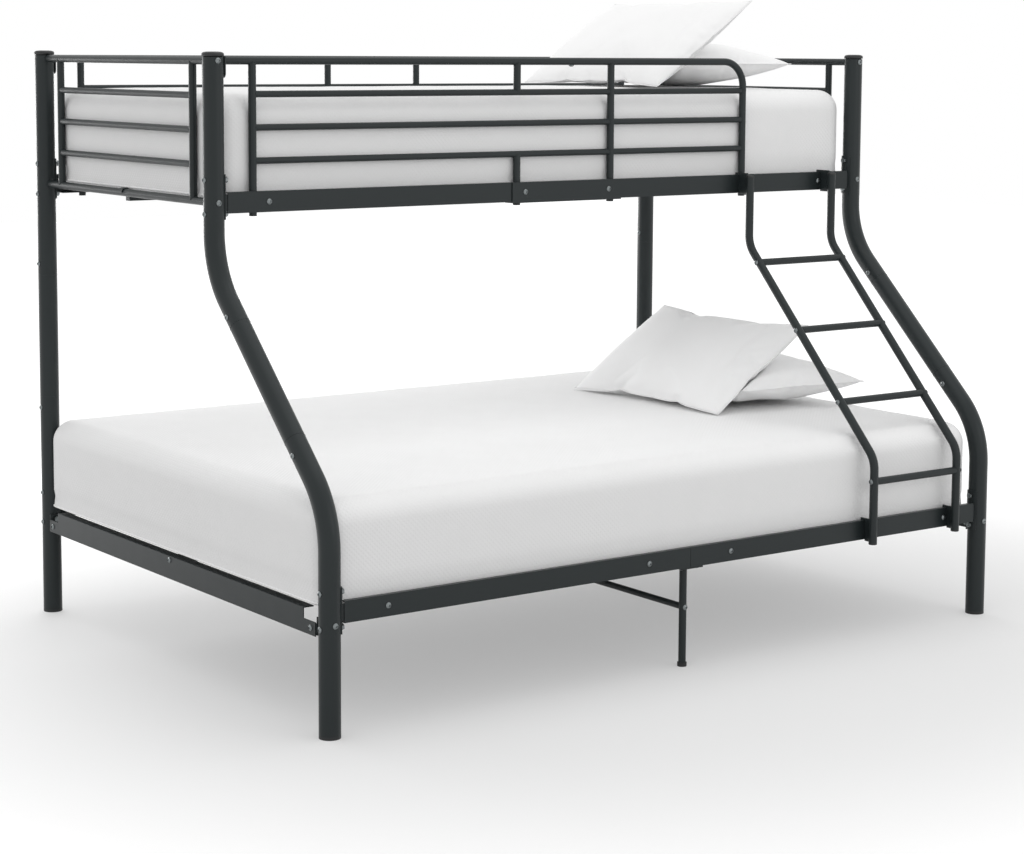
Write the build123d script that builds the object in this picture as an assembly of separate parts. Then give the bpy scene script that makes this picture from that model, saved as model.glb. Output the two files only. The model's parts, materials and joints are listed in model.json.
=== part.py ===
from build123d import *
import math
import os

# Metal bunk bed with a wide lower bunk and a narrower upper bunk, millimetres.
# +X points to the head end, +Y to the back (wall side), +Z up. The origin lies on the floor,
# in the middle of the space that the bed takes up.

# Posts
bed_length = 2050.0  # foot to head post centres
bed_depth = 1440.0  # front to back post centres, at the floor
upper_setback = 514.0  # upper part of a front post behind its lower part
post_diameter = 50.0
post_wall = 1.5
post_top_z = 1497.0
front_bend_low_z = 509.0
front_bend_high_z = 996.0
front_bend_radius = 220.0
front_joint_low_z = 647.0
front_joint_high_z = 880.0
back_joint_low_z = 588.0
back_joint_high_z = 915.0
front_low_bolt_drop = 43.0
front_high_bolt_rise = 27.0
back_bolt_reach = 30.0
sleeve_length = 120.0
sleeve_wall = 1.8
sleeve_play = 0.2
top_cap_rise = 4.0
top_cap_edge = 1.2
top_cap_plug = 3.5
foot_cap_height = 8.0
foot_cap_plug = 20.0

# Clearances
seat_gap = 0.1  # between welded or seated faces
hole_play = 0.3  # around a bolt's shank
thread_play = 0.05
lift_gap = 0.3  # around what lifts off
overrun = 20.0  # how far a cutter runs past what it cuts

# Bolts and nuts
bolt_diameter = 8.0
head_diameter = 14.0
head_height = 4.5
head_edge = 1.2
socket_width = 5.0
socket_depth = 2.5
nut_width = 13.0
nut_height = 6.5
bolt_tail = 1.5  # thread that stands out of a nut
thread_grip = 14.0  # thread held in a threaded end
thread_plug_length = 28.0

# Upper end frames
frame_tube_diameter = 19.0
frame_tube_wall = 1.5
frame_bar_diameter = 16.0
frame_bar_wall = 1.2
frame_top_z = 1488.5
frame_bottom_z = 1158.0
frame_bar_pitch = 81.5
frame_bar_count = 3
frame_upright_inset = 100.0

# Guards
guard_top_z = 1488.8
guard_bar_pitch = 78.5
guard_bar_count = 3
guard_foot_upright = 104.0
guard_middle_upright = 151.5  # each side of mid-length
front_guard_opening = 415.0  # from the guard's head end to the head post
guard_corner_radius = 67.0
guard_joint_offset = 9.0  # from mid-length towards the head
guard_bolt_offset = 12.0  # from the joint towards the head
guard_poke = 9.0  # upright ends below the side rail
guard_spigot_length = 80.0
tab_thickness = 3.0
tab_width = 24.0
tab_bolt_z = 1460.0

# Side rails
rail_height = 50.0
rail_wall = 2.0
rail_face_offset = 14.0
rail_lip = 12.0
rail_leaf = 30.0
rail_end_gap = 30.0
rail_notch_length = 10.0  # of an upper rail's lower leaf, beside the bracket bolts
rail_joint_gap = 1.0
upper_rail_z = 1132.0
lower_rail_z = 257.5
splice_length = 352.0
splice_wall = 3.0
upper_splice_bolt = 135.0
lower_splice_bolt = 130.0
saddle_wall = 3.0
saddle_height = 106.0
saddle_half_angle = 38.0
saddle_bolt_reach = 40.0
upper_saddle_z = 1171.0
lower_saddle_z = 287.0
tongue_thickness = 2.0
tongue_height = 40.0
tongue_length = 160.0
upper_tongue_bolt = 141.0
lower_tongue_bolt = 145.0

# Lower end rails
end_rail_bottom_z = 225.0
end_rail_height = 57.0
end_rail_wall = 2.5
end_rail_leaf = 28.0
end_rail_face_offset = 19.0
end_rail_end_gap = 30.0
end_rail_notch_length = 82.0
end_rail_notch_z = 257.0
end_tab_wall = 3.0
end_tab_length = 42.0
end_tab_side_height = 26.0
end_tab_bolt = 50.0
end_post_bolt_z = 257.0

# Slats and centre beams
slat_width = 40.0
slat_thickness = 2.5
slat_count = 13
slat_end_gap = 90.0
slat_side_gap = 12.0
upper_slat_top_z = 1159.3
lower_slat_top_z = 284.5
beam_size = 20.0
beam_wall = 1.5
beam_plug_length = 20.0
upper_beam_setback = 466.0  # behind the upper front rail's plane
hook_wall = 3.0

# Centre trestle
trestle_offset = 10.0  # from mid-length towards the head
trestle_leg_inset = 26.0
trestle_leg_diameter = 19.0
trestle_leg_wall = 1.5
trestle_plate_length = 66.0
trestle_plate_depth = 46.0
trestle_plate_thickness = 5.0
trestle_plate_bolt = 24.0
trestle_plate_margin = 10.0
trestle_tie_z = 150.0
trestle_tie_diameter = 16.0
trestle_cap_height = 10.0
trestle_cap_diameter = 24.0

# Ladder
ladder_foot_offset = 42.0  # lower stile in front of the front posts' plane
ladder_top_offset = 57.0  # upper stile in front of the upper rail's plane
ladder_setback = 433.0  # left stile from the head posts
ladder_spacing = 303.0
stile_diameter = 22.0
stile_wall = 1.5
stile_bend_high_z = 992.0
stile_bend_low_z = 470.0
stile_bend_radius = 70.0
stile_top_z = 1176.0
stile_bottom_z = 253.0
stile_cap = 5.0
stile_cap_plug = 15.0
rung_diameter = 19.0
rung_wall = 1.5
rung_top_z = 947.0
rung_second_z = 778.0
rung_third_z = 605.0
rung_bottom_z = 413.0
hook_plate_thickness = 5.0
hook_bridge = 5.0
hook_leg = 4.0
hook_drop = 17.0
hook_tail = 4.0

# Mattresses
mattress_corner_radius = 56.0
mattress_draw = 3.0
mattress_bottom_round = 28.0
mattress_top_round = 75.0
mattress_top_inset = 58.0
mattress_crown = 24.0
mattress_crown_inset = 420.0
lower_mattress_foot_gap = 5.0
lower_mattress_head_gap = 40.0
lower_mattress_side_gap = 5.5
lower_mattress_height = 250.0
upper_mattress_foot_gap = 11.0
upper_mattress_head_gap = 36.0
upper_mattress_side_gap = 11.0
upper_mattress_height = 258.0

# Pillows
pillow_width = 700.0
pillow_length = 460.0
pillow_thickness = 130.0
pillow_corner_radius = 30.0
pillow_draw = 22.0
pillow_rest_gap = 0.5
lower_flat_head = 285.0  # pillow centres, from the head posts
lower_flat_setback = 700.0  # behind the front posts' plane
lower_flat_turn = -7.0  # degrees
lower_leaning_head = 432.0
lower_leaning_setback = 760.0
lower_leaning_turn = 6.0
lower_leaning_tilt = 28.0
upper_flat_head = 270.0
upper_flat_setback = 455.0  # behind the upper rail's plane
upper_flat_turn = 0.0
upper_leaning_head = 463.0
upper_leaning_setback = 383.0
upper_leaning_turn = -5.0
upper_leaning_tilt = 42.0

# Shares
guard_bolt_share = 0.75  # of the guard tube that its joint bolt passes
foot_rim_share = 0.125
stile_cap_rim_share = 0.33
crown_inset_shares = (0.3, 0.65, 1.0)
corner_ease_share = 0.5
pillow_level_shares = (-1.0, -0.93, -0.8, -0.6, -0.35, -0.06, 0.06, 0.35, 0.6, 0.8, 0.93, 1.0)
pillow_inset_share = 0.8
pillow_puff_share = 0.999
pillow_corner_share = 0.1
pillow_draw_share = 0.7
pillow_puff_power = 1.6
settle_steps = 6
round_steps = 3

# Places worked out from the sizes above
post_radius = post_diameter / 2
post_bore = post_diameter - 2 * post_wall
x_foot = -bed_length / 2
x_head = bed_length / 2
front_reach = ladder_foot_offset + stile_diameter / 2
back_reach = post_radius + head_height
y_front = (front_reach - back_reach - bed_depth) / 2
y_rail = y_front + upper_setback
y_back = y_front + bed_depth
slope_length = math.hypot(upper_setback, front_bend_high_z - front_bend_low_z)
slope_y = upper_setback / slope_length
slope_z = (front_bend_high_z - front_bend_low_z) / slope_length
lower_mattress_z = lower_slat_top_z
upper_mattress_z = upper_slat_top_z
x_ends = {"foot": x_foot, "head": x_head}
inward = {"foot": 1, "head": -1}
nuts = []
bolts = {"post_bolts": [], "bracket_bolts": [], "frame_bolts": [], "rail_bolts": [], "rung_bolts": []}
nodes = {}
trestle_holes = []


def rod(start, end, diameter):
    """Round bar between two points."""
    start = Vector(*start)
    end = Vector(*end)
    return Solid.make_cylinder(diameter / 2, (end - start).length, Plane(start, z_dir=end - start))


def pipe(start, end, diameter, wall):
    """Straight tube between two points."""
    return rod(start, end, diameter) - rod(start, end, diameter - 2 * wall)


def bent_rod(points, bend_radius, diameter):
    """Round bar along straight runs joined by tangent bends."""
    path = FilletPolyline(*points, radius=bend_radius)
    return sweep(Plane(path @ 0, z_dir=path % 0) * Circle(diameter / 2), path=path)


def bent_pipe(points, bend_radius, diameter, wall):
    """Tube along straight runs joined by tangent bends."""
    return bent_rod(points, bend_radius, diameter) - bent_rod(points, bend_radius, diameter - 2 * wall)


def block(low, high):
    """Box between two corners, given in any order."""
    spans = [sorted(pair) for pair in zip(low, high)]
    middle = [(a + b) / 2 for a, b in spans]
    return Pos(*middle) * Box(*[b - a for a, b in spans])


def plate(outline, plane, low, high):
    """A face in a plane, made solid between two heights above that plane."""
    return Pos(*(plane.z_dir * low)) * extrude(plane * outline, amount=high - low)


def polygon(*points):
    """A flat face inside straight edges."""
    return make_face(Polyline(*points, close=True))


def cut(shape, tools):
    """The shape without any of the tools."""
    for tool in tools:
        shape = shape - tool
    return shape


def solids(*shapes):
    """Every separate solid of some shapes, as one list."""
    found = []
    for shape in shapes:
        if isinstance(shape, (list, tuple)):
            found.extend(solids(*shape))
        else:
            found.extend(shape.solids())
    return found


def dome(diameter, edge, height):
    """Disc on the origin's level whose top is a spherical cap above a straight edge."""
    rise = height - edge
    curve = ((diameter / 2) ** 2 + rise ** 2) / (2 * rise)
    disc = Solid.make_cylinder(diameter / 2, height)
    return disc & (Pos(0, 0, height - curve) * Solid.make_sphere(curve, angle1=-90, angle2=90))


def bolt_at(group, seat, direction, length):
    """Adds a domed bolt with a hex socket to a group, and returns the hole that it needs."""
    head = Rot(180, 0, 0) * dome(head_diameter, head_edge, head_height)
    socket = extrude(RegularPolygon(socket_width / 2, 6, major_radius=False), amount=socket_depth)
    shank = Solid.make_cylinder(bolt_diameter / 2, length)
    place = Plane(Vector(*seat), z_dir=Vector(*direction))
    bolts[group].append(place.location * (head + shank - Pos(0, 0, -head_height) * socket))
    start = place.origin - place.z_dir * hole_play
    return rod(start, place.origin + place.z_dir * (length + bolt_tail), bolt_diameter + 2 * hole_play)


def nut_at(seat, direction):
    """Adds a hex nut that seats at a point and lies along a direction."""
    body = extrude(RegularPolygon(nut_width / 2, 6, major_radius=False), amount=nut_height)
    bore = Solid.make_cylinder(bolt_diameter / 2 + thread_play, nut_height)
    nuts.append(Plane(Vector(*seat), z_dir=Vector(*direction)).location * (body - bore))


def nut_depth(bore_diameter):
    """Distance from a tube's axis to a nut that seats inside its bore."""
    return math.sqrt((bore_diameter / 2) ** 2 - (nut_width / math.sqrt(3)) ** 2) - seat_gap


def threaded_hole(seat, direction, length):
    """The hole of a bolt's thread in a solid end."""
    end = Vector(*seat) + Vector(*direction).normalized() * (length + bolt_tail)
    return rod(seat, end, bolt_diameter + 2 * thread_play)


# Posts: three tubes each, on two inner sleeves
sleeve_diameter = post_bore - 2 * sleeve_play
sleeve_bore = sleeve_diameter - 2 * sleeve_wall
low_joint_run = (front_joint_low_z - front_bend_low_z) / slope_z
high_joint_run = (front_bend_high_z - front_joint_high_z) / slope_z


def post_paths(side):
    """Lower, middle and upper tube of a post, as (y, z) points from the floor up."""
    if side == "back":
        heights = (foot_cap_height, back_joint_low_z, back_joint_high_z, post_top_z)
        return [[(y_back, low), (y_back, high)] for low, high in zip(heights, heights[1:])]
    low_joint = (y_front + low_joint_run * slope_y, front_joint_low_z)
    high_joint = (y_rail - high_joint_run * slope_y, front_joint_high_z)
    lower = [(y_front, foot_cap_height), (y_front, front_bend_low_z), low_joint]
    upper = [high_joint, (y_rail, front_bend_high_z), (y_rail, post_top_z)]
    return [lower, [low_joint, high_joint], upper]


def make_posts(holes):
    """Post tubes, their sleeves, caps and joint bolts."""
    sleeves = []
    top_caps = []
    for end, x in x_ends.items():
        for side in ("front", "back"):
            paths = [[(x, y, z) for y, z in path] for path in post_paths(side)]
            slope = Vector(0, slope_y, slope_z) if side == "front" else Vector(0, 0, 1)
            reaches = (-front_low_bolt_drop, front_high_bolt_rise)
            if side == "back":
                reaches = (-back_bolt_reach, back_bolt_reach)
            cutters = list(holes[end, side])
            sleeve_pair = []
            for joint, reach in zip((paths[1][0], paths[1][1]), reaches):
                joint = Vector(*joint)
                half = slope * (sleeve_length / 2)
                sleeve_pair.append(pipe(joint - half, joint + half, sleeve_diameter, sleeve_wall))
                centre = joint + slope * reach
                depth = nut_depth(sleeve_bore)
                seat = centre - Vector(post_radius, 0, 0)
                length = post_radius - depth + nut_height + bolt_tail
                cutters.append(bolt_at("post_bolts", seat, (1, 0, 0), length))
                nut_at(centre - Vector(depth, 0, 0), (1, 0, 0))
            sleeves.append([cut(sleeve, cutters) for sleeve in sleeve_pair])
            for level, path in zip(("lower", "middle", "upper"), paths):
                if len(path) == 2:
                    tube = pipe(path[0], path[1], post_diameter, post_wall)
                else:
                    tube = bent_pipe(path, front_bend_radius, post_diameter, post_wall)
                nodes[f"{side}_{end}_post_{level}"] = cut(tube, cutters)
            top_caps.append(top_cap(paths[2][-1]))
    nodes["post_sleeves"] = sleeves
    nodes["post_top_caps"] = top_caps


def top_cap(place):
    """Slightly domed plastic cap in the top of a post."""
    plug = Solid.make_cylinder(post_bore / 2 - seat_gap, top_cap_plug + top_cap_edge)
    return Pos(*place) * (dome(post_diameter, top_cap_edge, top_cap_rise) + Pos(0, 0, -top_cap_plug) * plug)


def foot_cap(x, y, bore, diameter, height):
    """Plastic foot under a tube, with a plug inside the tube."""
    base = rod((x, y, 0), (x, y, height), diameter)
    rim = fillet(base.edges().group_by(Axis.Z)[0], (diameter - bore) * foot_rim_share)
    return rim + rod((x, y, 0), (x, y, height + foot_cap_plug), bore - 2 * seat_gap)


def make_foot_caps():
    """Feet of the four posts and the two trestle legs."""
    places = [(x, y) for x in (x_foot, x_head) for y in (y_front, y_back)]
    caps = [foot_cap(x, y, post_bore, post_diameter, foot_cap_height) for x, y in places]
    bore = trestle_leg_diameter - 2 * trestle_leg_wall
    for y in (y_front + trestle_leg_inset, y_back - trestle_leg_inset):
        caps.append(foot_cap(trestle_offset, y, bore, trestle_cap_diameter, trestle_cap_height))
    nodes["foot_caps"] = caps


# Upper end frames: two rails between the posts, two uprights and the bars between them
def make_end_frames(holes):
    """Welded end frames of the upper bunk, with a threaded plug in each rail end."""
    levels = [frame_top_z - frame_bar_pitch * (i + 1) for i in range(frame_bar_count)]
    bore = frame_tube_diameter - 2 * frame_tube_wall
    cover = frame_tube_diameter + 2 * seat_gap
    upright_ys = (y_rail + frame_upright_inset, y_back - frame_upright_inset)
    for end, x in x_ends.items():
        rails = []
        for z in (frame_top_z, frame_bottom_z):
            rail = rod((x, y_rail, z), (x, y_back, z), frame_tube_diameter)
            hollow = post_radius + thread_plug_length
            rail -= rod((x, y_rail + hollow, z), (x, y_back - hollow, z), bore)
            for y, side, way in ((y_rail, "front", 1), (y_back, "back", -1)):
                rail -= rod((x, y, z - overrun), (x, y, z + overrun), post_diameter + 2 * seat_gap)
                seat = (x, y - way * post_radius, z)
                length = post_diameter + thread_grip
                holes[end, side].append(bolt_at("frame_bolts", seat, (0, way, 0), length))
                rail -= threaded_hole(seat, (0, way, 0), length)
            rails.append(rail)
        rail_tools = [rod((x, y_rail, z), (x, y_back, z), cover) for z in (frame_top_z, frame_bottom_z)]
        uprights = []
        upright_tools = []
        for y in upright_ys:
            upright = pipe((x, y, frame_bottom_z), (x, y, frame_top_z), frame_tube_diameter, frame_tube_wall)
            uprights.append(cut(upright, rail_tools))
            upright_tools.append(rod((x, y, frame_bottom_z), (x, y, frame_top_z), cover))
        bars = []
        for z in levels:
            bar = pipe((x, upright_ys[0], z), (x, upright_ys[1], z), frame_bar_diameter, frame_bar_wall)
            bars.append(cut(bar, upright_tools))
        nodes[f"upper_{end}_end_frame"] = [rails, uprights, bars]


# Guards: top rail, uprights and bars, each guard in two halves on inner spigots
guard_levels = [guard_top_z - guard_bar_pitch * (i + 1) for i in range(guard_bar_count)]
guard_joint_x = guard_joint_offset
guard_end_x = x_head - front_guard_opening
guard_foot_z = upper_rail_z - guard_poke


def guard_tab(end, y):
    """Plate at the end of a guard's top rail, flat against the post, with a round lower end."""
    way = inward[end]
    x = x_ends[end] + way * (post_radius + seat_gap)
    top = guard_top_z + frame_tube_diameter / 2
    low = (x, y - tab_width / 2, tab_bolt_z)
    high = (x + way * tab_thickness, y + tab_width / 2, top)
    return block(low, high) + rod((x, y, tab_bolt_z), (x + way * tab_thickness, y, tab_bolt_z), tab_width)


def tab_bolt(end, side, y, holes):
    """Bolt through a guard's tab into a nut inside the post."""
    way = inward[end]
    face = post_radius + seat_gap + tab_thickness
    seat = (x_ends[end] + way * face, y, tab_bolt_z)
    depth = nut_depth(post_bore)
    length = face - depth + nut_height + bolt_tail
    hole = bolt_at("rail_bolts", seat, (-way, 0, 0), length)
    nut_at((x_ends[end] + way * depth, y, tab_bolt_z), (-way, 0, 0))
    holes[end, side].append(hole)
    return hole


def guard_upright(x, y, low, high):
    """Upright tube of a guard."""
    return pipe((x, y, low), (x, y, high), frame_tube_diameter, frame_tube_wall)


def guard_half(y, tops, uprights, bar_span, tab, spigot_hole):
    """One welded half of a guard: its top rail, uprights and bars meet without overlapping."""
    first, last = bar_span
    bar_lines = [rod((first, y, z), (last, y, z), frame_bar_diameter + 2 * seat_gap) for z in guard_levels]
    cover = frame_tube_diameter + 2 * seat_gap
    top_line = rod((first - overrun, y, guard_top_z), (last + overrun, y, guard_top_z), cover)
    posts = []
    for x, low, high in uprights:
        upright = guard_upright(x, y, low, high)
        posts.append(cut(upright, [top_line, *bar_lines]))
    ends = [rod((x, y, low), (x, y, high), cover) for x, low, high in uprights if x in bar_span]
    bars = []
    for z in guard_levels:
        bar = pipe((first, y, z), (last, y, z), frame_bar_diameter, frame_bar_wall)
        bars.append(cut(bar, ends))
    tops = [cut(top, [spigot_hole]) for top in tops]
    return [tops, posts, bars, tab]


def make_guards(holes):
    """Front and back guard of the upper bunk."""
    wall = frame_tube_wall
    size = frame_tube_diameter
    spigots = []
    middle = guard_middle_upright
    short_high = guard_levels[0]
    short_low = guard_levels[-1]
    for side, y in (("front", y_rail), ("back", y_back)):
        bolt_seat = (guard_joint_x + guard_bolt_offset, y, guard_top_z - size / 2)
        spigot_bore = bolt_at("rail_bolts", bolt_seat, (0, 0, 1), size * guard_bolt_share)
        foot_x = x_foot + guard_foot_upright
        start = x_foot + post_radius + seat_gap + tab_thickness + seat_gap
        foot_tab = cut(guard_tab("foot", y), [tab_bolt("foot", side, y, holes)])
        foot_top = pipe((start, y, guard_top_z), (guard_joint_x, y, guard_top_z), size, wall)
        foot_posts = [(foot_x, guard_foot_z, guard_top_z), (-middle, short_high, guard_top_z),
                      (-middle, guard_foot_z, short_low)]
        nodes[f"{side}_guard_foot_half"] = guard_half(
            y, [foot_top], foot_posts, (foot_x, guard_joint_x), foot_tab, spigot_bore)
        head_posts = [(middle, guard_foot_z, guard_top_z)]
        head_tab = []
        if side == "front":
            path = [(guard_joint_x, y, guard_top_z), (guard_end_x, y, guard_top_z),
                    (guard_end_x, y, guard_foot_z)]
            head_top = bent_pipe(path, guard_corner_radius, size, wall)
            head_x = guard_end_x
        else:
            head_x = x_head - guard_foot_upright
            head_top = pipe((guard_joint_x, y, guard_top_z), (-start, y, guard_top_z), size, wall)
            head_posts.append((head_x, guard_foot_z, guard_top_z))
            head_tab = cut(guard_tab("head", y), [tab_bolt("head", side, y, holes)])
        half = guard_half(y, [head_top], head_posts, (guard_joint_x, head_x), head_tab, spigot_bore)
        if side == "front":
            corner_line = rod((head_x, y, guard_foot_z), (head_x, y, guard_top_z), size + 2 * seat_gap)
            half[2] = [cut(bar, [corner_line]) for bar in half[2]]
        nodes[f"{side}_guard_head_half"] = half
        for z in [guard_top_z, *guard_levels]:
            outer, wall_now = (size, wall) if z == guard_top_z else (frame_bar_diameter, frame_bar_wall)
            reach = guard_spigot_length / 2
            spigot_size = outer - 2 * wall_now - 2 * sleeve_play
            spigot = rod((guard_joint_x - reach, y, z), (guard_joint_x + reach, y, z), spigot_size)
            spigots.append(spigot - spigot_bore if z == guard_top_z else spigot)
    nodes["guard_spigots"] = spigots


# Side rails: a C section in two halves, open to the inside of the bed
def rail_outline(out, y, z):
    """Section of a side rail whose web faces outwards; out is -1 in front and 1 at the back."""
    web = y + out * rail_face_offset
    inner = web - out * rail_wall
    lip = web - out * rail_lip
    leaf = web - out * rail_leaf
    top = z + rail_height
    return [(web, z), (web, top), (lip, top), (lip, top - rail_wall), (inner, top - rail_wall),
            (inner, z + rail_wall), (leaf, z + rail_wall), (leaf, z)]


def long_section(points, x_low, x_high):
    """Solid of a (y, z) outline between two places along the bed."""
    return plate(polygon(*points), Plane.YZ, x_low, x_high)


def make_side_rails(level, z, holes):
    """Side rails of one bunk, with their splices, end brackets and bolts."""
    lower = level == "lower"
    front = y_front if lower else y_rail
    saddle_z = lower_saddle_z if lower else upper_saddle_z
    tongue_bolt = lower_tongue_bolt if lower else upper_tongue_bolt
    splice_bolt = lower_splice_bolt if lower else upper_splice_bolt
    brackets = []
    splices = []
    for side, y, out in (("front", front, -1), ("back", y_back, 1)):
        web = y + out * rail_face_offset
        inner = web - out * rail_wall
        middle_z = z + rail_height / 2
        bolt_face = web if lower else web + out * splice_wall
        through = rail_wall + splice_wall
        tools = []
        splice_tools = []
        for x in (-splice_bolt, splice_bolt):
            length = through + nut_height + bolt_tail
            splice_tools.append(bolt_at("rail_bolts", (x, bolt_face, middle_z), (0, -out, 0), length))
            nut_at((x, bolt_face - out * through, middle_z), (0, -out, 0))
        tools += splice_tools
        for end in x_ends:
            way = inward[end]
            x = x_ends[end] + way * tongue_bolt
            grip = rail_wall + tongue_thickness
            hole = bolt_at("rail_bolts", (x, web, middle_z), (0, -out, 0), grip + nut_height + bolt_tail)
            nut_at((x, web - out * grip, middle_z), (0, -out, 0))
            tools.append(hole)
            saddle_holes = saddle_bolts(end, side, y, saddle_z, holes)
            bracket = end_bracket(end, y, inner, out, saddle_z, middle_z)
            brackets.append(cut(bracket, [hole, *saddle_holes]))
        if lower:
            splice = block((-splice_length / 2, inner, middle_z - tongue_height / 2),
                           (splice_length / 2, inner - out * splice_wall, middle_z + tongue_height / 2))
        else:
            low = z - splice_wall
            leaf = web - out * rail_leaf
            face = web + out * splice_wall
            points = [(face, low), (face, z + rail_height), (web, z + rail_height),
                      (web, z), (leaf, z), (leaf, low)]
            splice = long_section(points, -splice_length / 2, splice_length / 2)
        if not lower:
            upright_tools = guard_holes(y)
            tools += upright_tools
            splice_tools += upright_tools
        else:
            tools += trestle_plate_bolts(y, out, z)
        splices.append(cut(splice, splice_tools))
        for half, span in (("foot", (x_foot + rail_end_gap, -rail_joint_gap / 2)),
                           ("head", (rail_joint_gap / 2, x_head - rail_end_gap))):
            rail = long_section(rail_outline(out, y, z), *span)
            if not lower:
                near = x_ends[half] + inward[half] * rail_notch_length
                far = near + inward[half] * rail_end_gap
                rail -= block((near, inner, z - overrun),
                              (far, inner - out * post_diameter, z + rail_wall + seat_gap))
            nodes[f"{level}_{side}_rail_{half}_half"] = cut(rail, tools)
    nodes[f"{level}_rail_splices"] = splices
    nodes[f"{level}_rail_brackets"] = brackets


def guard_holes(y):
    """Round openings in an upper side rail for the guard's uprights."""
    xs = [x_foot + guard_foot_upright, -guard_middle_upright, guard_middle_upright]
    xs.append(guard_end_x if y == y_rail else x_head - guard_foot_upright)
    size = frame_tube_diameter + 2 * hole_play
    low = guard_foot_z - overrun
    high = upper_rail_z + rail_height + overrun
    return [rod((x, y, low), (x, y, high), size) for x in xs]


def saddle_bolts(end, side, y, saddle_z, holes):
    """The two bolts of an end bracket, through the post with their heads outside the bed."""
    way = inward[end]
    found = []
    for z in (saddle_z - saddle_bolt_reach, saddle_z + saddle_bolt_reach):
        grip = post_diameter + seat_gap + saddle_wall
        seat = (x_ends[end] - way * post_radius, y, z)
        found.append(bolt_at("bracket_bolts", seat, (way, 0, 0), grip + nut_height + bolt_tail))
        nut_at((x_ends[end] + way * (post_radius + seat_gap + saddle_wall), y, z), (way, 0, 0))
    holes[end, side].extend(found)
    return found


def end_bracket(end, y, inner, out, saddle_z, tongue_z):
    """Saddle plate on a post and the tongue that reaches into the side rail."""
    way = inward[end]
    x = x_ends[end]
    low = saddle_z - saddle_height / 2
    high = saddle_z + saddle_height / 2
    inside = post_diameter + 2 * seat_gap
    ring = rod((x, y, low), (x, y, high), inside + 2 * saddle_wall)
    ring -= rod((x, y, low - overrun), (x, y, high + overrun), inside)
    reach = post_diameter * 2
    spread = reach * math.tan(math.radians(saddle_half_angle))
    fan = polygon((x, y), (x + way * reach, y - spread), (x + way * reach, y + spread))
    wedge = Pos(0, 0, low) * extrude(fan, amount=saddle_height)
    tongue = block((x + way * post_radius, inner, tongue_z - tongue_height / 2),
                   (x + way * tongue_length, inner - out * tongue_thickness, tongue_z + tongue_height / 2))
    tongue -= rod((x, y, low - overrun), (x, y, high + overrun), inside + saddle_wall)
    return (ring & wedge) + tongue


def trestle_plate_bolts(y, out, z):
    """Bolts that hold a trestle leg's plate under a lower side rail."""
    found = []
    for x in (trestle_offset - trestle_plate_bolt, trestle_offset + trestle_plate_bolt):
        length = trestle_plate_thickness + rail_wall + nut_height
        place = y - out * (slat_side_gap - lift_gap - nut_width / math.sqrt(3))
        found.append(bolt_at("rail_bolts", (x, place, z - trestle_plate_thickness), (0, 0, 1), length))
        nut_at((x, place, z + rail_wall), (0, 0, 1))
    trestle_holes.extend(found)
    return found


# Lower end rails: an angle between the posts, held by a tab at each end
def make_lower_ends(holes):
    """Lower end rails, their end tabs and the centre beam between them."""
    tabs = []
    beam_holes = []
    middle_y = (y_front + y_back) / 2
    top = end_rail_bottom_z + end_rail_height
    for end, x in x_ends.items():
        way = inward[end]
        face = x - way * end_rail_face_offset
        inner = face + way * end_rail_wall
        tools = []
        for side, y, into in (("front", y_front, 1), ("back", y_back, -1)):
            bolt_y = y + into * end_tab_bolt
            bolt_z = end_rail_bottom_z + (end_rail_notch_z - end_rail_bottom_z) / 2
            length = end_rail_wall + end_tab_wall + nut_height + bolt_tail
            side_hole = bolt_at("rail_bolts", (face, bolt_y, bolt_z), (way, 0, 0), length)
            nut_at((inner + way * end_tab_wall, bolt_y, bolt_z), (way, 0, 0))
            tools.append(side_hole)
            post_face = y + into * (post_radius + seat_gap)
            seat = (x, y - into * post_radius, end_post_bolt_z)
            length = post_diameter + seat_gap + end_tab_wall + nut_height + bolt_tail
            post_hole = bolt_at("frame_bolts", seat, (0, into, 0), length)
            nut_at((x, post_face + into * end_tab_wall, end_post_bolt_z), (0, into, 0))
            holes[end, side].append(post_hole)
            tab_low = bolt_z - end_tab_side_height / 2
            side_leg = block((inner, post_face, tab_low),
                             (inner + way * end_tab_wall, post_face + into * end_tab_length,
                              tab_low + end_tab_side_height))
            post_leg = block((inner, post_face, tab_low),
                             (x + way * nut_width, post_face + into * end_tab_wall,
                              end_post_bolt_z + end_tab_side_height / 2))
            tabs.append(cut(side_leg + post_leg, [side_hole, post_hole]))
            tools.append(block((x - way * post_diameter, y, end_rail_notch_z),
                               (x + way * post_diameter, y + into * end_rail_notch_length, top + overrun)))
        points = [(face, end_rail_bottom_z), (face, top), (face + way * end_rail_leaf, top),
                  (face + way * end_rail_leaf, top - end_rail_wall), (inner, top - end_rail_wall),
                  (inner, end_rail_bottom_z)]
        span = (y_front + end_rail_end_gap, y_back - end_rail_end_gap)
        rail = plate(polygon(*points), Plane.XZ, -span[1], -span[0])
        beam_z = lower_slat_top_z - slat_thickness - beam_size / 2
        beam_hole = bolt_at("rail_bolts", (face, middle_y, beam_z), (way, 0, 0), end_rail_wall + thread_grip)
        half = beam_size / 2 + seat_gap
        notch = block((inner, middle_y - half, top - end_rail_wall - overrun),
                      (face + way * (end_rail_leaf + overrun), middle_y + half, top + overrun))
        nodes[f"lower_{end}_end_rail"] = cut(rail, [*tools, beam_hole, notch])
        beam_holes.append(threaded_hole((face, middle_y, beam_z), (way, 0, 0), end_rail_wall + thread_grip))
    nodes["lower_end_tabs"] = tabs
    start = x_foot - end_rail_face_offset + end_rail_wall
    top_z = lower_slat_top_z - slat_thickness
    beam = square_beam(start, -start, middle_y, top_z)
    nodes["lower_centre_beam"] = cut(beam, beam_holes)


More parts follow.
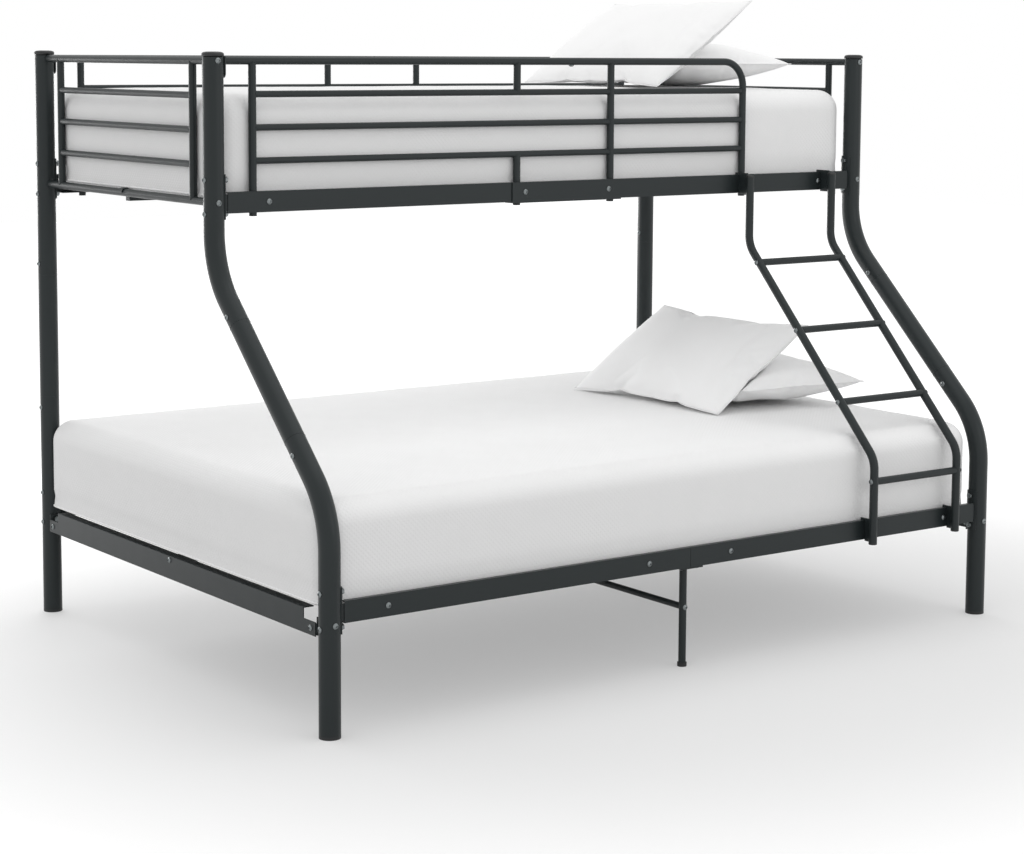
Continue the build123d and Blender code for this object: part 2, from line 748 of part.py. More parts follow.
def square_beam(x_low, x_high, y, top_z):
    """Square tube along the bed with solid ends."""
    half = beam_size / 2
    inner = half - beam_wall
    middle_z = top_z - half
    beam = block((x_low, y - half, top_z - beam_size), (x_high, y + half, top_z))
    return beam - block((x_low + beam_plug_length, y - inner, middle_z - inner),
                        (x_high - beam_plug_length, y + inner, middle_z + inner))


# Upper centre beam: hangs on the end frames' bottom rails by a hook at each end
def make_upper_beam():
    """Square beam with a bent hook over each bottom rail."""
    y = y_rail + upper_beam_setback
    top_z = upper_slat_top_z - slat_thickness
    bore = frame_tube_diameter / 2 + seat_gap
    outside = bore + hook_wall
    half = beam_size / 2
    beam = square_beam(x_foot + outside, x_head - outside, y, top_z)
    for end, x in x_ends.items():
        way = inward[end]
        ring = rod((x, y - half, frame_bottom_z), (x, y + half, frame_bottom_z), 2 * outside)
        upper = block((x - outside, y - half, frame_bottom_z),
                      (x + outside, y + half, frame_bottom_z + outside))
        arch = ring & upper
        leg = block((x + way * bore, y - half, top_z - beam_size),
                    (x + way * outside, y + half, frame_bottom_z))
        beam = beam + (arch + leg)
        beam = beam - rod((x, y - beam_size, frame_bottom_z), (x, y + beam_size, frame_bottom_z), 2 * bore)
    nodes["upper_centre_beam"] = beam


def make_slats(level, front, top_z, rail_z):
    """Sheet steel slats whose ends turn down onto the side rails."""
    low = front + slat_side_gap
    high = y_back - slat_side_gap
    foot = rail_z + rail_wall
    under = top_z - slat_thickness
    points = [(low, foot), (low, top_z), (high, top_z), (high, foot), (high - slat_thickness, foot),
              (high - slat_thickness, under), (low + slat_thickness, under), (low + slat_thickness, foot)]
    pitch = (bed_length - 2 * slat_end_gap) / (slat_count - 1)
    slats = []
    for i in range(slat_count):
        x = x_foot + slat_end_gap + i * pitch
        slats.append(long_section(points, x - slat_width / 2, x + slat_width / 2))
    nodes[f"{level}_slats"] = slats


# Centre trestle under the lower side rails
def make_trestle():
    """Two legs with top plates, and the tie bar between them."""
    x = trestle_offset
    legs = []
    leg_ys = (y_front + trestle_leg_inset, y_back - trestle_leg_inset)
    plate_z = lower_rail_z - trestle_plate_thickness
    tie = rod((x, leg_ys[0], trestle_tie_z), (x, leg_ys[1], trestle_tie_z), trestle_tie_diameter)
    hollow = trestle_leg_diameter / 2 + thread_plug_length
    tie -= rod((x, leg_ys[0] + hollow, trestle_tie_z), (x, leg_ys[1] - hollow, trestle_tie_z),
               trestle_tie_diameter - 2 * frame_bar_wall)
    for y, edge, into in ((leg_ys[0], y_front, 1), (leg_ys[1], y_back, -1)):
        seat = (x, y - into * trestle_leg_diameter / 2, trestle_tie_z)
        length = trestle_leg_diameter + thread_grip
        hole = bolt_at("rail_bolts", seat, (0, into, 0), length)
        tie = tie - rod((x, y, 0), (x, y, lower_rail_z), trestle_leg_diameter + 2 * seat_gap)
        tie = tie - threaded_hole(seat, (0, into, 0), length)
        leg = pipe((x, y, trestle_cap_height), (x, y, plate_z), trestle_leg_diameter, trestle_leg_wall)
        near = edge - into * trestle_plate_margin
        top = block((x - trestle_plate_length / 2, near, plate_z),
                    (x + trestle_plate_length / 2, near + into * trestle_plate_depth, lower_rail_z))
        legs.append(cut(leg + top, [hole, *trestle_holes]))
    nodes["trestle_legs"] = legs
    nodes["trestle_tie"] = tie


# Ladder: two bent stiles with bolted rungs, hanging on both front rails by hooks
def make_ladder():
    """Stiles, rungs, hooks and end caps of the ladder."""
    y_low = y_front - ladder_foot_offset
    y_high = y_rail - ladder_top_offset
    lefts = {"left": x_head - ladder_setback, "right": x_head - ladder_setback + ladder_spacing}
    path = [(y_low, stile_bottom_z), (y_low, stile_bend_low_z), (y_high, stile_bend_high_z),
            (y_high, stile_top_z)]
    rise = (y_high - y_low) / (stile_bend_high_z - stile_bend_low_z)
    rung_places = [(y_low, rung_bottom_z)]
    for z in (rung_third_z, rung_second_z, rung_top_z):
        rung_places.append((y_low + (z - stile_bend_low_z) * rise, z))
    stile_tools = []
    covers = []
    caps = []
    hooks = []
    for side, x in lefts.items():
        way = 1 if side == "left" else -1
        points = [(x, y, z) for y, z in path]
        tools = []
        for y, z in rung_places:
            seat = (x - way * stile_diameter / 2, y, z)
            length = stile_diameter + thread_grip
            tools.append(bolt_at("rung_bolts", seat, (way, 0, 0), length))
            stile_tools.append(threaded_hole(seat, (way, 0, 0), length))
        cover = bent_rod(points, stile_bend_radius, stile_diameter + 2 * seat_gap)
        covers.append(cover)
        stile = bent_pipe(points, stile_bend_radius, stile_diameter, stile_wall)
        nodes[f"ladder_{side}_stile"] = cut(stile, tools)
        hooks += [ladder_hook(x, y_high, y_rail, upper_rail_z), ladder_hook(x, y_low, y_front, lower_rail_z)]
        caps += [stile_cap_at(x, y_low, stile_bottom_z, -1), stile_cap_at(x, y_high, stile_top_z, 1)]
    rungs = []
    bore = rung_diameter - 2 * rung_wall
    for y, z in rung_places:
        rung = rod((lefts["left"], y, z), (lefts["right"], y, z), rung_diameter)
        hollow = stile_diameter / 2 + thread_plug_length
        rung -= rod((lefts["left"] + hollow, y, z), (lefts["right"] - hollow, y, z), bore)
        rungs.append(cut(rung, covers + stile_tools))
    nodes["ladder_rungs"] = rungs
    nodes["ladder_hooks"] = hooks
    nodes["ladder_end_caps"] = caps


def ladder_hook(x, y_stile, y_plane, rail_z):
    """Flat plate from a stile over the top of a side rail, with a leg behind its lip."""
    top = rail_z + rail_height
    near = y_stile + stile_diameter / 2 + seat_gap
    face = y_plane - rail_face_offset - lift_gap
    behind = y_plane - rail_face_offset + rail_lip + lift_gap
    points = [(near, rail_z - hook_tail), (face, rail_z - hook_tail), (face, top + lift_gap),
              (behind, top + lift_gap), (behind, top - hook_drop), (behind + hook_leg, top - hook_drop),
              (behind + hook_leg, top + lift_gap + hook_bridge), (near, top + lift_gap + hook_bridge)]
    return long_section(points, x - hook_plate_thickness / 2, x + hook_plate_thickness / 2)


def stile_cap_at(x, y, z, way):
    """Plastic cap on an end of a stile, with a plug inside it."""
    cap = rod((x, y, z), (x, y, z + way * stile_cap), stile_diameter)
    edges = cap.edges().group_by(Axis.Z)[-1 if way > 0 else 0]
    cap = fillet(edges, stile_cap * stile_cap_rim_share)
    bore = stile_diameter - 2 * stile_wall
    return cap + rod((x, y, z), (x, y, z - way * stile_cap_plug), bore - 2 * seat_gap)


# Bedding
def cushion_face(length, width, corner, draw):
    """Flat outline with round corners and sides that pull in between them."""
    half_x = length / 2
    half_y = width / 2
    slant = corner * (1 - math.sin(math.pi / 4))
    edges = []
    for turn_x, turn_y in ((1, 1), (-1, 1), (-1, -1), (1, -1)):
        start = (turn_x * half_x, turn_y * (half_y - corner))
        end = (turn_x * (half_x - corner), turn_y * half_y)
        if turn_x * turn_y < 0:
            start, end = end, start
        middle = (turn_x * (half_x - slant), turn_y * (half_y - slant))
        edges.append(ThreePointArc(start, middle, end))
    sides = []
    middles = ((0, half_y - draw), (-half_x + draw, 0), (0, -half_y + draw), (half_x - draw, 0))
    for i, middle in enumerate(middles):
        sides.append(ThreePointArc(edges[i] @ 1, middle, edges[(i + 1) % 4] @ 0))
    return make_face(Curve() + edges + sides)


def mattress(length, width, height):
    """Crowned mattress, its underside flat on the origin's level and its edges rounded."""
    edge_z = height - mattress_crown
    levels = []
    for i in range(round_steps + 1):
        turn = math.pi / 2 * i / round_steps
        inset = mattress_bottom_round * (1 - math.sin(turn))
        levels.append((mattress_bottom_round * (1 - math.cos(turn)), inset))
    for i in range(round_steps + 1):
        turn = math.pi / 2 * i / round_steps
        inset = mattress_top_inset * (1 - math.cos(turn))
        levels.append((edge_z - mattress_top_round * (1 - math.sin(turn)), inset))
    for share in crown_inset_shares:
        rise = mattress_crown * (1 - (1 - share) ** 2)
        inset = mattress_top_inset + (mattress_crown_inset - mattress_top_inset) * share
        levels.append((edge_z + rise, inset))
    faces = []
    for z, inset in levels:
        corner = mattress_corner_radius - min(inset, mattress_corner_radius) * corner_ease_share
        face = cushion_face(length - 2 * inset, width - 2 * inset, corner, mattress_draw)
        faces.append(Pos(0, 0, z) * face)
    return loft(faces, ruled=True)


def pillow(side_draw):
    """Puffed pillow whose sides are drawn in between its corners, centred on the origin."""
    faces = []
    for share in pillow_level_shares:
        shrink = 1 - math.sqrt(1 - abs(share) ** pillow_puff_power * pillow_puff_share)
        inset = pillow_length / 2 * pillow_inset_share * shrink
        corner = pillow_corner_radius + inset * pillow_corner_share
        draw = side_draw * (1 - abs(share) * pillow_draw_share)
        face = cushion_face(pillow_length - 2 * inset, pillow_width - 2 * inset, corner, draw)
        faces.append(Pos(0, 0, share * pillow_thickness / 2) * face)
    return loft(faces, ruled=True)


def fallen(place, shape, bed):
    """The place lowered until the shape there rests on the bed under it."""
    for _ in range(settle_steps):
        place = Pos(0, 0, pillow_rest_gap - (place * shape).distance_to(bed)) * place
    return place


def make_pillows(level, bed, top_z, flat_place, leaning_place, flat_turn, leaning_turn, tilt):
    """A flat pillow, and a leaning one that has pressed a slope into it."""
    shape = pillow(pillow_draw)
    straight = pillow(lift_gap)
    above = Pos(leaning_place.X, leaning_place.Y, top_z + pillow_width)
    leaning = fallen(above * Rot(0, 0, leaning_turn) * Rot(0, -tilt, 0), straight, bed)
    pressed = leaning * block((-pillow_width, -pillow_width, -pillow_thickness / 2 - pillow_rest_gap),
                              (pillow_width, pillow_width, pillow_width))
    above = Pos(flat_place.X, flat_place.Y, top_z + pillow_thickness)
    flat = fallen(above * Rot(0, 0, flat_turn), straight, bed)
    nodes[f"{level}_flat_pillow"] = flat * shape - pressed
    nodes[f"{level}_leaning_pillow"] = leaning * shape


def make_bedding():
    """Mattresses and pillows."""
    depth = bed_depth - 2 * lower_mattress_side_gap
    length = bed_length - lower_mattress_foot_gap - lower_mattress_head_gap
    lower_x = x_foot + lower_mattress_foot_gap + length / 2
    lower = mattress(length, depth, lower_mattress_height)
    lower = Pos(lower_x, (y_front + y_back) / 2, lower_mattress_z) * lower
    nodes["lower_mattress"] = lower
    upper_depth = y_back - y_rail - 2 * upper_mattress_side_gap
    length = bed_length - upper_mattress_foot_gap - upper_mattress_head_gap
    upper_x = x_foot + upper_mattress_foot_gap + length / 2
    upper = mattress(length, upper_depth, upper_mattress_height)
    upper = Pos(upper_x, (y_rail + y_back) / 2, upper_mattress_z) * upper
    nodes["upper_mattress"] = upper
    make_pillows("lower", lower, lower_mattress_z + lower_mattress_height,
                 Vector(x_head - lower_flat_head, y_front + lower_flat_setback),
                 Vector(x_head - lower_leaning_head, y_front + lower_leaning_setback),
                 lower_flat_turn, lower_leaning_turn, lower_leaning_tilt)
    make_pillows("upper", upper, upper_mattress_z + upper_mattress_height,
                 Vector(x_head - upper_flat_head, y_rail + upper_flat_setback),
                 Vector(x_head - upper_leaning_head, y_rail + upper_leaning_setback),
                 upper_flat_turn, upper_leaning_turn, upper_leaning_tilt)


def main():
    """Makes every piece and writes one file for each node."""
    holes = {(end, side): [] for end in x_ends for side in ("front", "back")}
    make_end_frames(holes)
    make_guards(holes)
    make_side_rails("upper", upper_rail_z, holes)
    make_side_rails("lower", lower_rail_z, holes)
    make_lower_ends(holes)
    make_upper_beam()
    make_slats("upper", y_rail, upper_slat_top_z, upper_rail_z)
    make_slats("lower", y_front, lower_slat_top_z, lower_rail_z)
    make_trestle()
    make_posts(holes)
    make_foot_caps()
    make_ladder()
    make_bedding()
    nodes.update(bolts)
    nodes["nuts"] = nuts
    os.makedirs("parts", exist_ok=True)
    for name, shape in nodes.items():
        found = solids(shape)
        export_step(found[0] if len(found) == 1 else Compound(children=found), f"parts/{name}.step")
        print(name, len(found))


main()
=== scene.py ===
"""Looks of a tubular steel bunk bed: coated tubes, bolts, caps, mattresses and pillows."""
import json
import math

import bmesh
import bpy
from bpy.props import FloatProperty, FloatVectorProperty, IntProperty, PointerProperty
from mathutils import Matrix, Vector, noise
from mathutils.bvhtree import BVHTree


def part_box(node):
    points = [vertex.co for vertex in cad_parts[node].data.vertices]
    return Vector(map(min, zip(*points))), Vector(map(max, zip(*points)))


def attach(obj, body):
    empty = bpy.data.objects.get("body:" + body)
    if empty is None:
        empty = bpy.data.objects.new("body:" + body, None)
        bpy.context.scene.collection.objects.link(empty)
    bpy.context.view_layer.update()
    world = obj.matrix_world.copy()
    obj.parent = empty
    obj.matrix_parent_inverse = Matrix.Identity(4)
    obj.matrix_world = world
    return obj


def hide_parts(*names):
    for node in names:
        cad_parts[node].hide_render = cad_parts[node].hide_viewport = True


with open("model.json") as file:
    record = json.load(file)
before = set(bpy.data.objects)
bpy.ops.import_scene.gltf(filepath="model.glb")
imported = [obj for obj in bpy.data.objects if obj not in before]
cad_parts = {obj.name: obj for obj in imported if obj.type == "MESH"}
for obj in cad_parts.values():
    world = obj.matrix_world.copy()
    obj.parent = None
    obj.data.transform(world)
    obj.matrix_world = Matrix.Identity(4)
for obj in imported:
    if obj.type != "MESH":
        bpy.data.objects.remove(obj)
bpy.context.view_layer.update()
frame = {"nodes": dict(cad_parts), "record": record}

bl_info = {
    "name": "Bunk bed",
    "version": (1, 0, 0),
    "blender": (4, 5, 0),
    "location": "View3D > Sidebar > Bunk bed",
    "description": "Finishes, welds, mattresses and pillows of a tubular steel bunk bed",
    "category": "Object",
}

# names of the CAD nodes
LEVELS = ("lower", "upper")
ENDS = ("foot", "head")
SIDES = ("front", "back")
STILES = ("ladder_left_stile", "ladder_right_stile")
CAP_NODES = ("post_top_caps", "foot_caps", "ladder_end_caps")
BOLT_NODES = ("post_bolts", "bracket_bolts", "frame_bolts", "rail_bolts", "rung_bolts", "nuts")
BEDDING_NODES = tuple(f"{level}_{kind}" for level in LEVELS
                      for kind in ("mattress", "flat_pillow", "leaning_pillow"))
OVER_LOWER = ("front_foot_post_lower", "front_head_post_lower", *STILES, "ladder_rungs")
NEAR = {level: tuple(f"{side}_{end}_post_{level}" for end in ENDS for side in SIDES)
        for level in LEVELS}
NEAR["lower"] += ("lower_foot_end_rail", "lower_head_end_rail", "lower_rail_brackets",
                  "bracket_bolts", "rail_bolts")
NEAR["upper"] += ("upper_foot_end_frame", "upper_head_end_frame", "upper_rail_brackets",
                  "bracket_bolts", "rail_bolts", "frame_bolts", "front_guard_foot_half",
                  "back_guard_foot_half", "back_guard_head_half")

AXIS_X = Vector((1, 0, 0))
AXIS_Y = Vector((0, 1, 0))
AXIS_Z = Vector((0, 0, 1))
DOWN = Vector((0, 0, -1))

# steel and caps: lengths in metres
POST_RADIUS = 0.025
WELD_POINTS = 24
WELD_SINK = 0.0002      # keeps a weld loop just inside tubes of equal radius
RING_POINTS = 48
BEAD_SIDES = 6
SLOPE_GUESS = 0.7       # first sine and cosine of a sloping tube
SLOPE_ROUNDS = 30
CAP_SEAT = 0.0017       # height of a cap's underside over the top of the tube
CAP_WALL = 0.003
CAP_SKIRT = 0.004
CAP_FLARE = 0.0004
CAP_SHOULDER = 0.45     # share of the cap's rise
CAP_DOME = range(18, 90, 12)    # degrees up the dome

# mattresses: lengths in metres
EDGE_CELLS = 7
MATTRESS_STEP = 0.022
MERGE_DISTANCE = 1e-5
LUMPS = ((7.0, 0.0014), (19.0, 0.0005))     # lumps to the metre and their height
CROWN_START = 0.5       # share of the edge's radius where the top begins to rise
TOUCH_REACH = 0.02
INSIDE_SHARE = 0.97     # how squarely a point inside a tube lies behind its surface
DENT_RUN = 0.045
DENT_REACH = 0.07
DENT_WAY = Vector((0, -1, 1)).normalized()
FLAT_SHARE = 0.7        # upward share of a normal from which a face is the top's
CORNER_POINTS = 12
PIPING_STEP = 0.02
PIPING_SIDES = 8

# pillows: lengths in metres
PILLOW_CELL = 0.0095
PANEL_EASE = 1.1        # size of the flat case as a share of the filled one
EDGE_BOW = 0.014
FIRST_PUFF = 0.012
PILLOW_FRAMES = 45
WRINKLE_SHARE = 0.45    # 0 is the plump shape by rule, 1 the simulated one
DRAWN_ALONG = 0.055
DRAWN_ACROSS = 0.04
SWELL_POWER = 0.47
EDGE_HEIGHT = 0.004
CREASE_PLACE = -0.74    # creases run in shares of the half width
CREASE_WANDER = 0.05
CREASE_WAVE = 2.2
CREASE_PHASE = 0.6
CREASE_WIDTH = 0.06
RIDGE_SHARE = 0.5
RIDGE_OFFSET = 0.14
RIDGE_WIDTH = 0.09
FILL_LUMPS = 9.0        # lumps to the metre
FILL_LUMP = 0.004
FILL_SEED = 900         # moves the lumps of each pillow by its crease
PRESS_GAP = 0.002
PRESS_FLOOR = 0.006
PRESS_ROUNDS = 3
PRESS_START = 0.05
PRESS_LEAST = 0.001
REST_GAP = 0.0004
RAY_TOP = 5.0
# each pillow's place, turn and tilt in degrees, flips of its pattern and depth of its crease
PILLOWS = {
    "lower_flat": ((0.775, -0.022), -6.0, 0.0, (1, 1, 1), 0.003),
    "lower_leaning": ((0.615, 0.022), 1.5, 33.0, (1, 1, 1), 0.007),
    "upper_flat": ((0.722, 0.260), 0.0, 0.0, (-1, 1, 1), 0.004),
    "upper_leaning": ((0.548, 0.200), 0.0, 35.0, (1, -1, 1), 0.008),
}
CLOTH = {"quality": 6, "mass": 0.3, "tension_stiffness": 40, "compression_stiffness": 40,
         "shear_stiffness": 12, "bending_stiffness": 0.35, "air_damping": 6,
         "use_pressure": True, "uniform_pressure_force": 6}

# studio
AMBIENT = 0.86
GLOW_NEAR = 0.31        # painted glow of the floor, seen by the camera and in gloss, under the bed and at its rim
GLOW_FAR = 0.7
GLOW_START = 1.1
GLOW_FULL = 2.9
GLOW_OFFSET = (-0.1, 0.15, 0)
GLOW_STRETCH = (0.9, 1.0, 0)
WHITE = (1, 1, 1, 1)
CAMERA_PLACE = (-3.643, -5.019, 1.512)
CAMERA_REACH = 100
FLOOR_REACH = 14.0
# each lamp's name, place, target, width, height and power in watts
LAMPS = (
    ("overhead_softbox", (0.2, -0.4, 4.8), (0.0, 0.0, 0.6), 5.0, 4.0, 34),
    ("front_softbox", (1.6, -5.4, 2.4), (0.2, 0.0, 0.7), 3.0, 2.4, 22),
    ("back_softbox", (0.2, 3.2, 1.15), (0.0, -0.2, 0.52), 4.5, 0.7, 55),
    ("between_softbox", (-0.3, 0.1, 1.1), (-0.3, 0.1, 0.5), 1.3, 0.8, 1.3),
    ("left_strip", (-4.4, -0.6, 1.9), (0.0, 0.0, 0.8), 0.7, 2.6, 1.5),
)


def linear(colour):
    """Linear RGB of an sRGB hex colour such as 3A4142."""
    parts = [int(colour[i:i + 2], 16) / 255 for i in (0, 2, 4)]
    return tuple(p / 12.92 if p <= 0.04045 else ((p + 0.055) / 1.055) ** 2.4 for p in parts)


def colour_prop(name, text, colour):
    """A colour that the user can change."""
    return FloatVectorProperty(name=name, description=text, subtype="COLOR", size=3, min=0,
                               max=1, default=linear(colour))


def length_prop(name, text, metres):
    """A length that the user can change."""
    return FloatProperty(name=name, description=text, default=metres, unit="LENGTH", precision=4)


def number_prop(name, text, value, **limits):
    """A plain number that the user can change."""
    return FloatProperty(name=name, description=text, default=value, **limits)


class SteelLook(bpy.types.PropertyGroup):
    """Colours and small sizes of the metal and plastic pieces."""
    coat: colour_prop("Powder coat", "Colour of the coated tubes", "23292A")
    zinc: colour_prop("Zinc", "Colour of the plated bolts", "7C8182")
    cap: colour_prop("Caps", "Colour of the plastic caps", "191B1C")
    roughness: number_prop("Coat roughness", "How dull the powder coat is", 0.36, min=0, max=1)
    bead: length_prop("Weld bead", "Radius of a weld bead", 0.0013)
    joint: length_prop("Joint line", "Radius of the line between post tubes", 0.0006)
    cap_lip: length_prop("Cap lip", "Overhang of a top cap", 0.0009)
    cap_rise: length_prop("Cap rise", "Height of a top cap", 0.011)
    bar_pitch: length_prop("End bar pitch", "Spacing of an end frame's bars", 0.0815)
    guard_pitch: length_prop("Guard bar pitch", "Spacing of a guard's bars", 0.0785)
    bar_count: IntProperty(name="Bars", description="Bars in an end frame or a guard",
                           default=3, min=1)
    tube: length_prop("Frame tube", "Diameter of the rails and uprights", 0.019)
    bar: length_prop("Bar", "Diameter of the bars between them", 0.016)
    upright_inset: length_prop("Upright inset", "From a post to an end frame's upright", 0.1)
    middle_upright: length_prop("Middle uprights", "From mid-length to a middle upright", 0.1515)
    end_upright: length_prop("Guard uprights", "From a post to a guard's end upright", 0.104)


class BeddingLook(bpy.types.PropertyGroup):
    """Colours and sizes of the mattresses and pillows."""
    knit: colour_prop("Mattress knit", "Colour of the mattress cover", "F0F0F0")
    cotton: colour_prop("Pillow cotton", "Colour of the pillow cases", "F4F4F4")
    edge: length_prop("Mattress edge", "Radius of a mattress's top edge", 0.056)
    foot_edge: length_prop("Lower edge", "Radius of a mattress's lower edge", 0.012)
    foot_reach: length_prop("Foot reach", "Reach of the lower cover over the foot rail", 0.019)
    head_reach: length_prop("Head reach", "Swell of a cover at the head end", 0.017)
    clearance: length_prop("Clearance", "Smallest gap between a cover and the frame", 0.002)
    crown: length_prop("Crown", "Rise of a mattress's top above its edge", 0.009)
    crown_run: length_prop("Crown run", "Run over which the top rises", 0.42)
    tape: length_prop("Tape", "Radius of a mattress's piping", 0.0022)
    knit_pitch: length_prop("Knit pitch", "Side of a diamond in the knitted cover", 0.0085)
    thread_pitch: length_prop("Thread pitch", "Drawn spacing of the pillow's threads", 0.0018)
    pillow_length: length_prop("Pillow length", "Short side of a pillow", 0.41)
    pillow_width: length_prop("Pillow width", "Long side of a pillow", 0.615)
    pillow_height: length_prop("Pillow height", "Thickness of a pillow", 0.13)
    seam: length_prop("Seam", "Radius of a pillow's corded seam", 0.0016)


class StudioLook(bpy.types.PropertyGroup):
    """Floor and camera."""
    floor: colour_prop("Floor", "Colour of the floor", "BFBFBF")
    focal_length: number_prop("Focal length", "Lens in millimetres on a 36 mm sensor", 81.94)
    azimuth: number_prop("Azimuth", "Camera's angle round the bed, in degrees", -35.796)
    elevation: number_prop("Elevation", "Camera's angle above the horizon, in degrees", 6.173)
    roll: number_prop("Roll", "Camera's tilt to the side, in degrees", 0.311)
    shift: number_prop("Lens shift", "Shift of the lens as a share of the image width", -0.12)


def add_node(tree, kind, values=None, **links):
    """Adds a node, sets its attributes and inputs, and links sockets by input name or index."""
    node = tree.nodes.new(kind)
    for key, value in (values or {}).items():
        if isinstance(key, str) and hasattr(node, key):
            setattr(node, key, value)
        else:
            node.inputs[key].default_value = value
    for key, socket in links.items():
        by_index = key[0] == "i" and key[1:].isdigit()
        tree.links.new(socket, node.inputs[int(key[1:]) if by_index else key.replace("_", " ")])
    return node


def new_material(name):
    """A material with a Principled shader, as the material, its tree and the shader."""
    material = bpy.data.materials.new(name)
    material.use_nodes = True
    tree = material.node_tree
    shader = next(n for n in tree.nodes if n.type == "BSDF_PRINCIPLED")
    return material, tree, shader


def shade(colour, factor):
    """An opaque colour made darker or lighter."""
    return (*(min(c * factor, 1.0) for c in colour[:3]), 1.0)


def clouds(tree, coordinates, size, detail):
    """Noise in patches of one size."""
    node = add_node(tree, "ShaderNodeTexNoise", {"Scale": 1 / size, "Detail": detail},
                    Vector=coordinates)
    return node.outputs["Fac"]


def bumped(tree, height, strength, depth, **under):
    """Normal of a relief, over that of a coarser one if it is given."""
    node = add_node(tree, "ShaderNodeBump", {"Strength": strength, "Distance": depth},
                    Height=height, **under)
    return node.outputs["Normal"]


def mottled(tree, shader, coordinates, colour, spread, size):
    """Base colour that drifts a little over patches of one size."""
    mix = add_node(tree, "ShaderNodeMix", {"data_type": "RGBA", 6: shade(colour, 1 - spread),
                                           7: shade(colour, 1 + spread)},
                   i0=clouds(tree, coordinates, size, 3.0))
    tree.links.new(mix.outputs[2], shader.inputs["Base Color"])


def rough_range(tree, shader, coordinates, low, high, size):
    """Roughness that varies between two values over patches of one size."""
    span = add_node(tree, "ShaderNodeMapRange", {"To Min": low, "To Max": high},
                    Value=clouds(tree, coordinates, size, 2.0))
    tree.links.new(span.outputs["Result"], shader.inputs["Roughness"])


def grained(tree, shader, coordinates, size, detail, strength, depth, **under):
    """Gives a shader a fine uneven relief."""
    height = clouds(tree, coordinates, size, detail)
    tree.links.new(bumped(tree, height, strength, depth, **under), shader.inputs["Normal"])


def hard_material(name, colour, patches, gloss, grain):
    """A hard surface: colour patches, uneven gloss and a fine grain, with its shader."""
    material, tree, shader = new_material(name)
    coordinates = add_node(tree, "ShaderNodeTexCoord").outputs["Object"]
    mottled(tree, shader, coordinates, colour, **patches)
    rough_range(tree, shader, coordinates, **gloss)
    grained(tree, shader, coordinates, **grain)
    return material, shader


def powder_coat():
    """Polyester powder coat, oven cured: semi-gloss with a fine orange peel on every tube."""
    look = bpy.context.scene.bunk_steel
    dull = look.roughness
    # the real peel is about 1 mm wide, drawn at 2.5 mm so that it shows
    material, shader = hard_material(
        "polyester_powder_coat_anthracite", look.coat, {"spread": 0.05, "size": 0.16},
        {"low": dull - 0.04, "high": dull + 0.06, "size": 0.05},
        {"size": 0.0025, "detail": 1.0, "strength": 0.35, "depth": 0.00012})
    shader.inputs["IOR"].default_value = 1.5
    shader.inputs["Specular IOR Level"].default_value = 0.28
    return material


def zinc_plate():
    """Bright zinc on steel bolts, passivated: a clear metal with faint cloudy patches."""
    material, shader = hard_material(
        "zinc_plated_steel", bpy.context.scene.bunk_steel.zinc, {"spread": 0.08, "size": 0.004},
        {"low": 0.2, "high": 0.38, "size": 0.003},
        {"size": 0.0012, "detail": 2.0, "strength": 0.3, "depth": 0.00005})
    shader.inputs["Metallic"].default_value = 1.0
    return material


def moulded_plastic():
    """Injection-moulded polyethylene: near black, dull, with a spark-eroded mould texture."""
    material, shader = hard_material(
        "moulded_polyethylene_black", bpy.context.scene.bunk_steel.cap,
        {"spread": 0.1, "size": 0.02}, {"low": 0.42, "high": 0.56, "size": 0.01},
        {"size": 0.0009, "detail": 2.0, "strength": 0.5, "depth": 0.00008})
    shader.inputs["IOR"].default_value = 1.5
    return material


def cloth_material(name, colour, spread, size, sheen):
    """A matt woven or knitted material, with its tree, shader and cloth coordinates."""
    material, tree, shader = new_material(name)
    place = add_node(tree, "ShaderNodeTexCoord")
    mottled(tree, shader, place.outputs["Object"], colour, spread, size)
    shader.inputs["Roughness"].default_value = 0.92
    shader.inputs["Specular IOR Level"].default_value = 0.25
    shader.inputs["Sheen Weight"].default_value = sheen
    shader.inputs["Sheen Roughness"].default_value = 0.6
    return material, tree, shader, place.outputs["UV"]


def turned_wave(tree, coordinates, period, degrees):
    """Even bands that repeat at a length in metres, turned by some degrees."""
    turn = add_node(tree, "ShaderNodeMapping", {"Rotation": (0, 0, math.radians(degrees))},
                    Vector=coordinates)
    wave = add_node(tree, "ShaderNodeTexWave",
                    {"Scale": math.pi / 10 / period, "Distortion": 0.6, "Detail": 1.0},
                    Vector=turn.outputs["Vector"])
    return wave.outputs["Fac"]


def crossed(tree, first, second, operation):
    """Two values joined by one sum."""
    node = add_node(tree, "ShaderNodeMath", {"operation": operation}, i0=first, i1=second)
    return node.outputs[0]


def double_knit():
    """Circular-knitted polyester with small puffed diamonds, white, softly matt."""
    look = bpy.context.scene.bunk_bedding
    material, tree, shader, cloth = cloth_material("polyester_double_knit_white", look.knit,
                                                   spread=0.015, size=0.09, sheen=0.2)
    diamonds = crossed(tree, turned_wave(tree, cloth, look.knit_pitch, 45),
                       turned_wave(tree, cloth, look.knit_pitch, -45), "MULTIPLY")
    puff = bumped(tree, diamonds, strength=0.55, depth=0.0006)
    # the loops themselves are about 1 mm apart, drawn at 2 mm
    grained(tree, shader, cloth, size=0.002, detail=2.0, strength=0.3, depth=0.0002, Normal=puff)
    return material


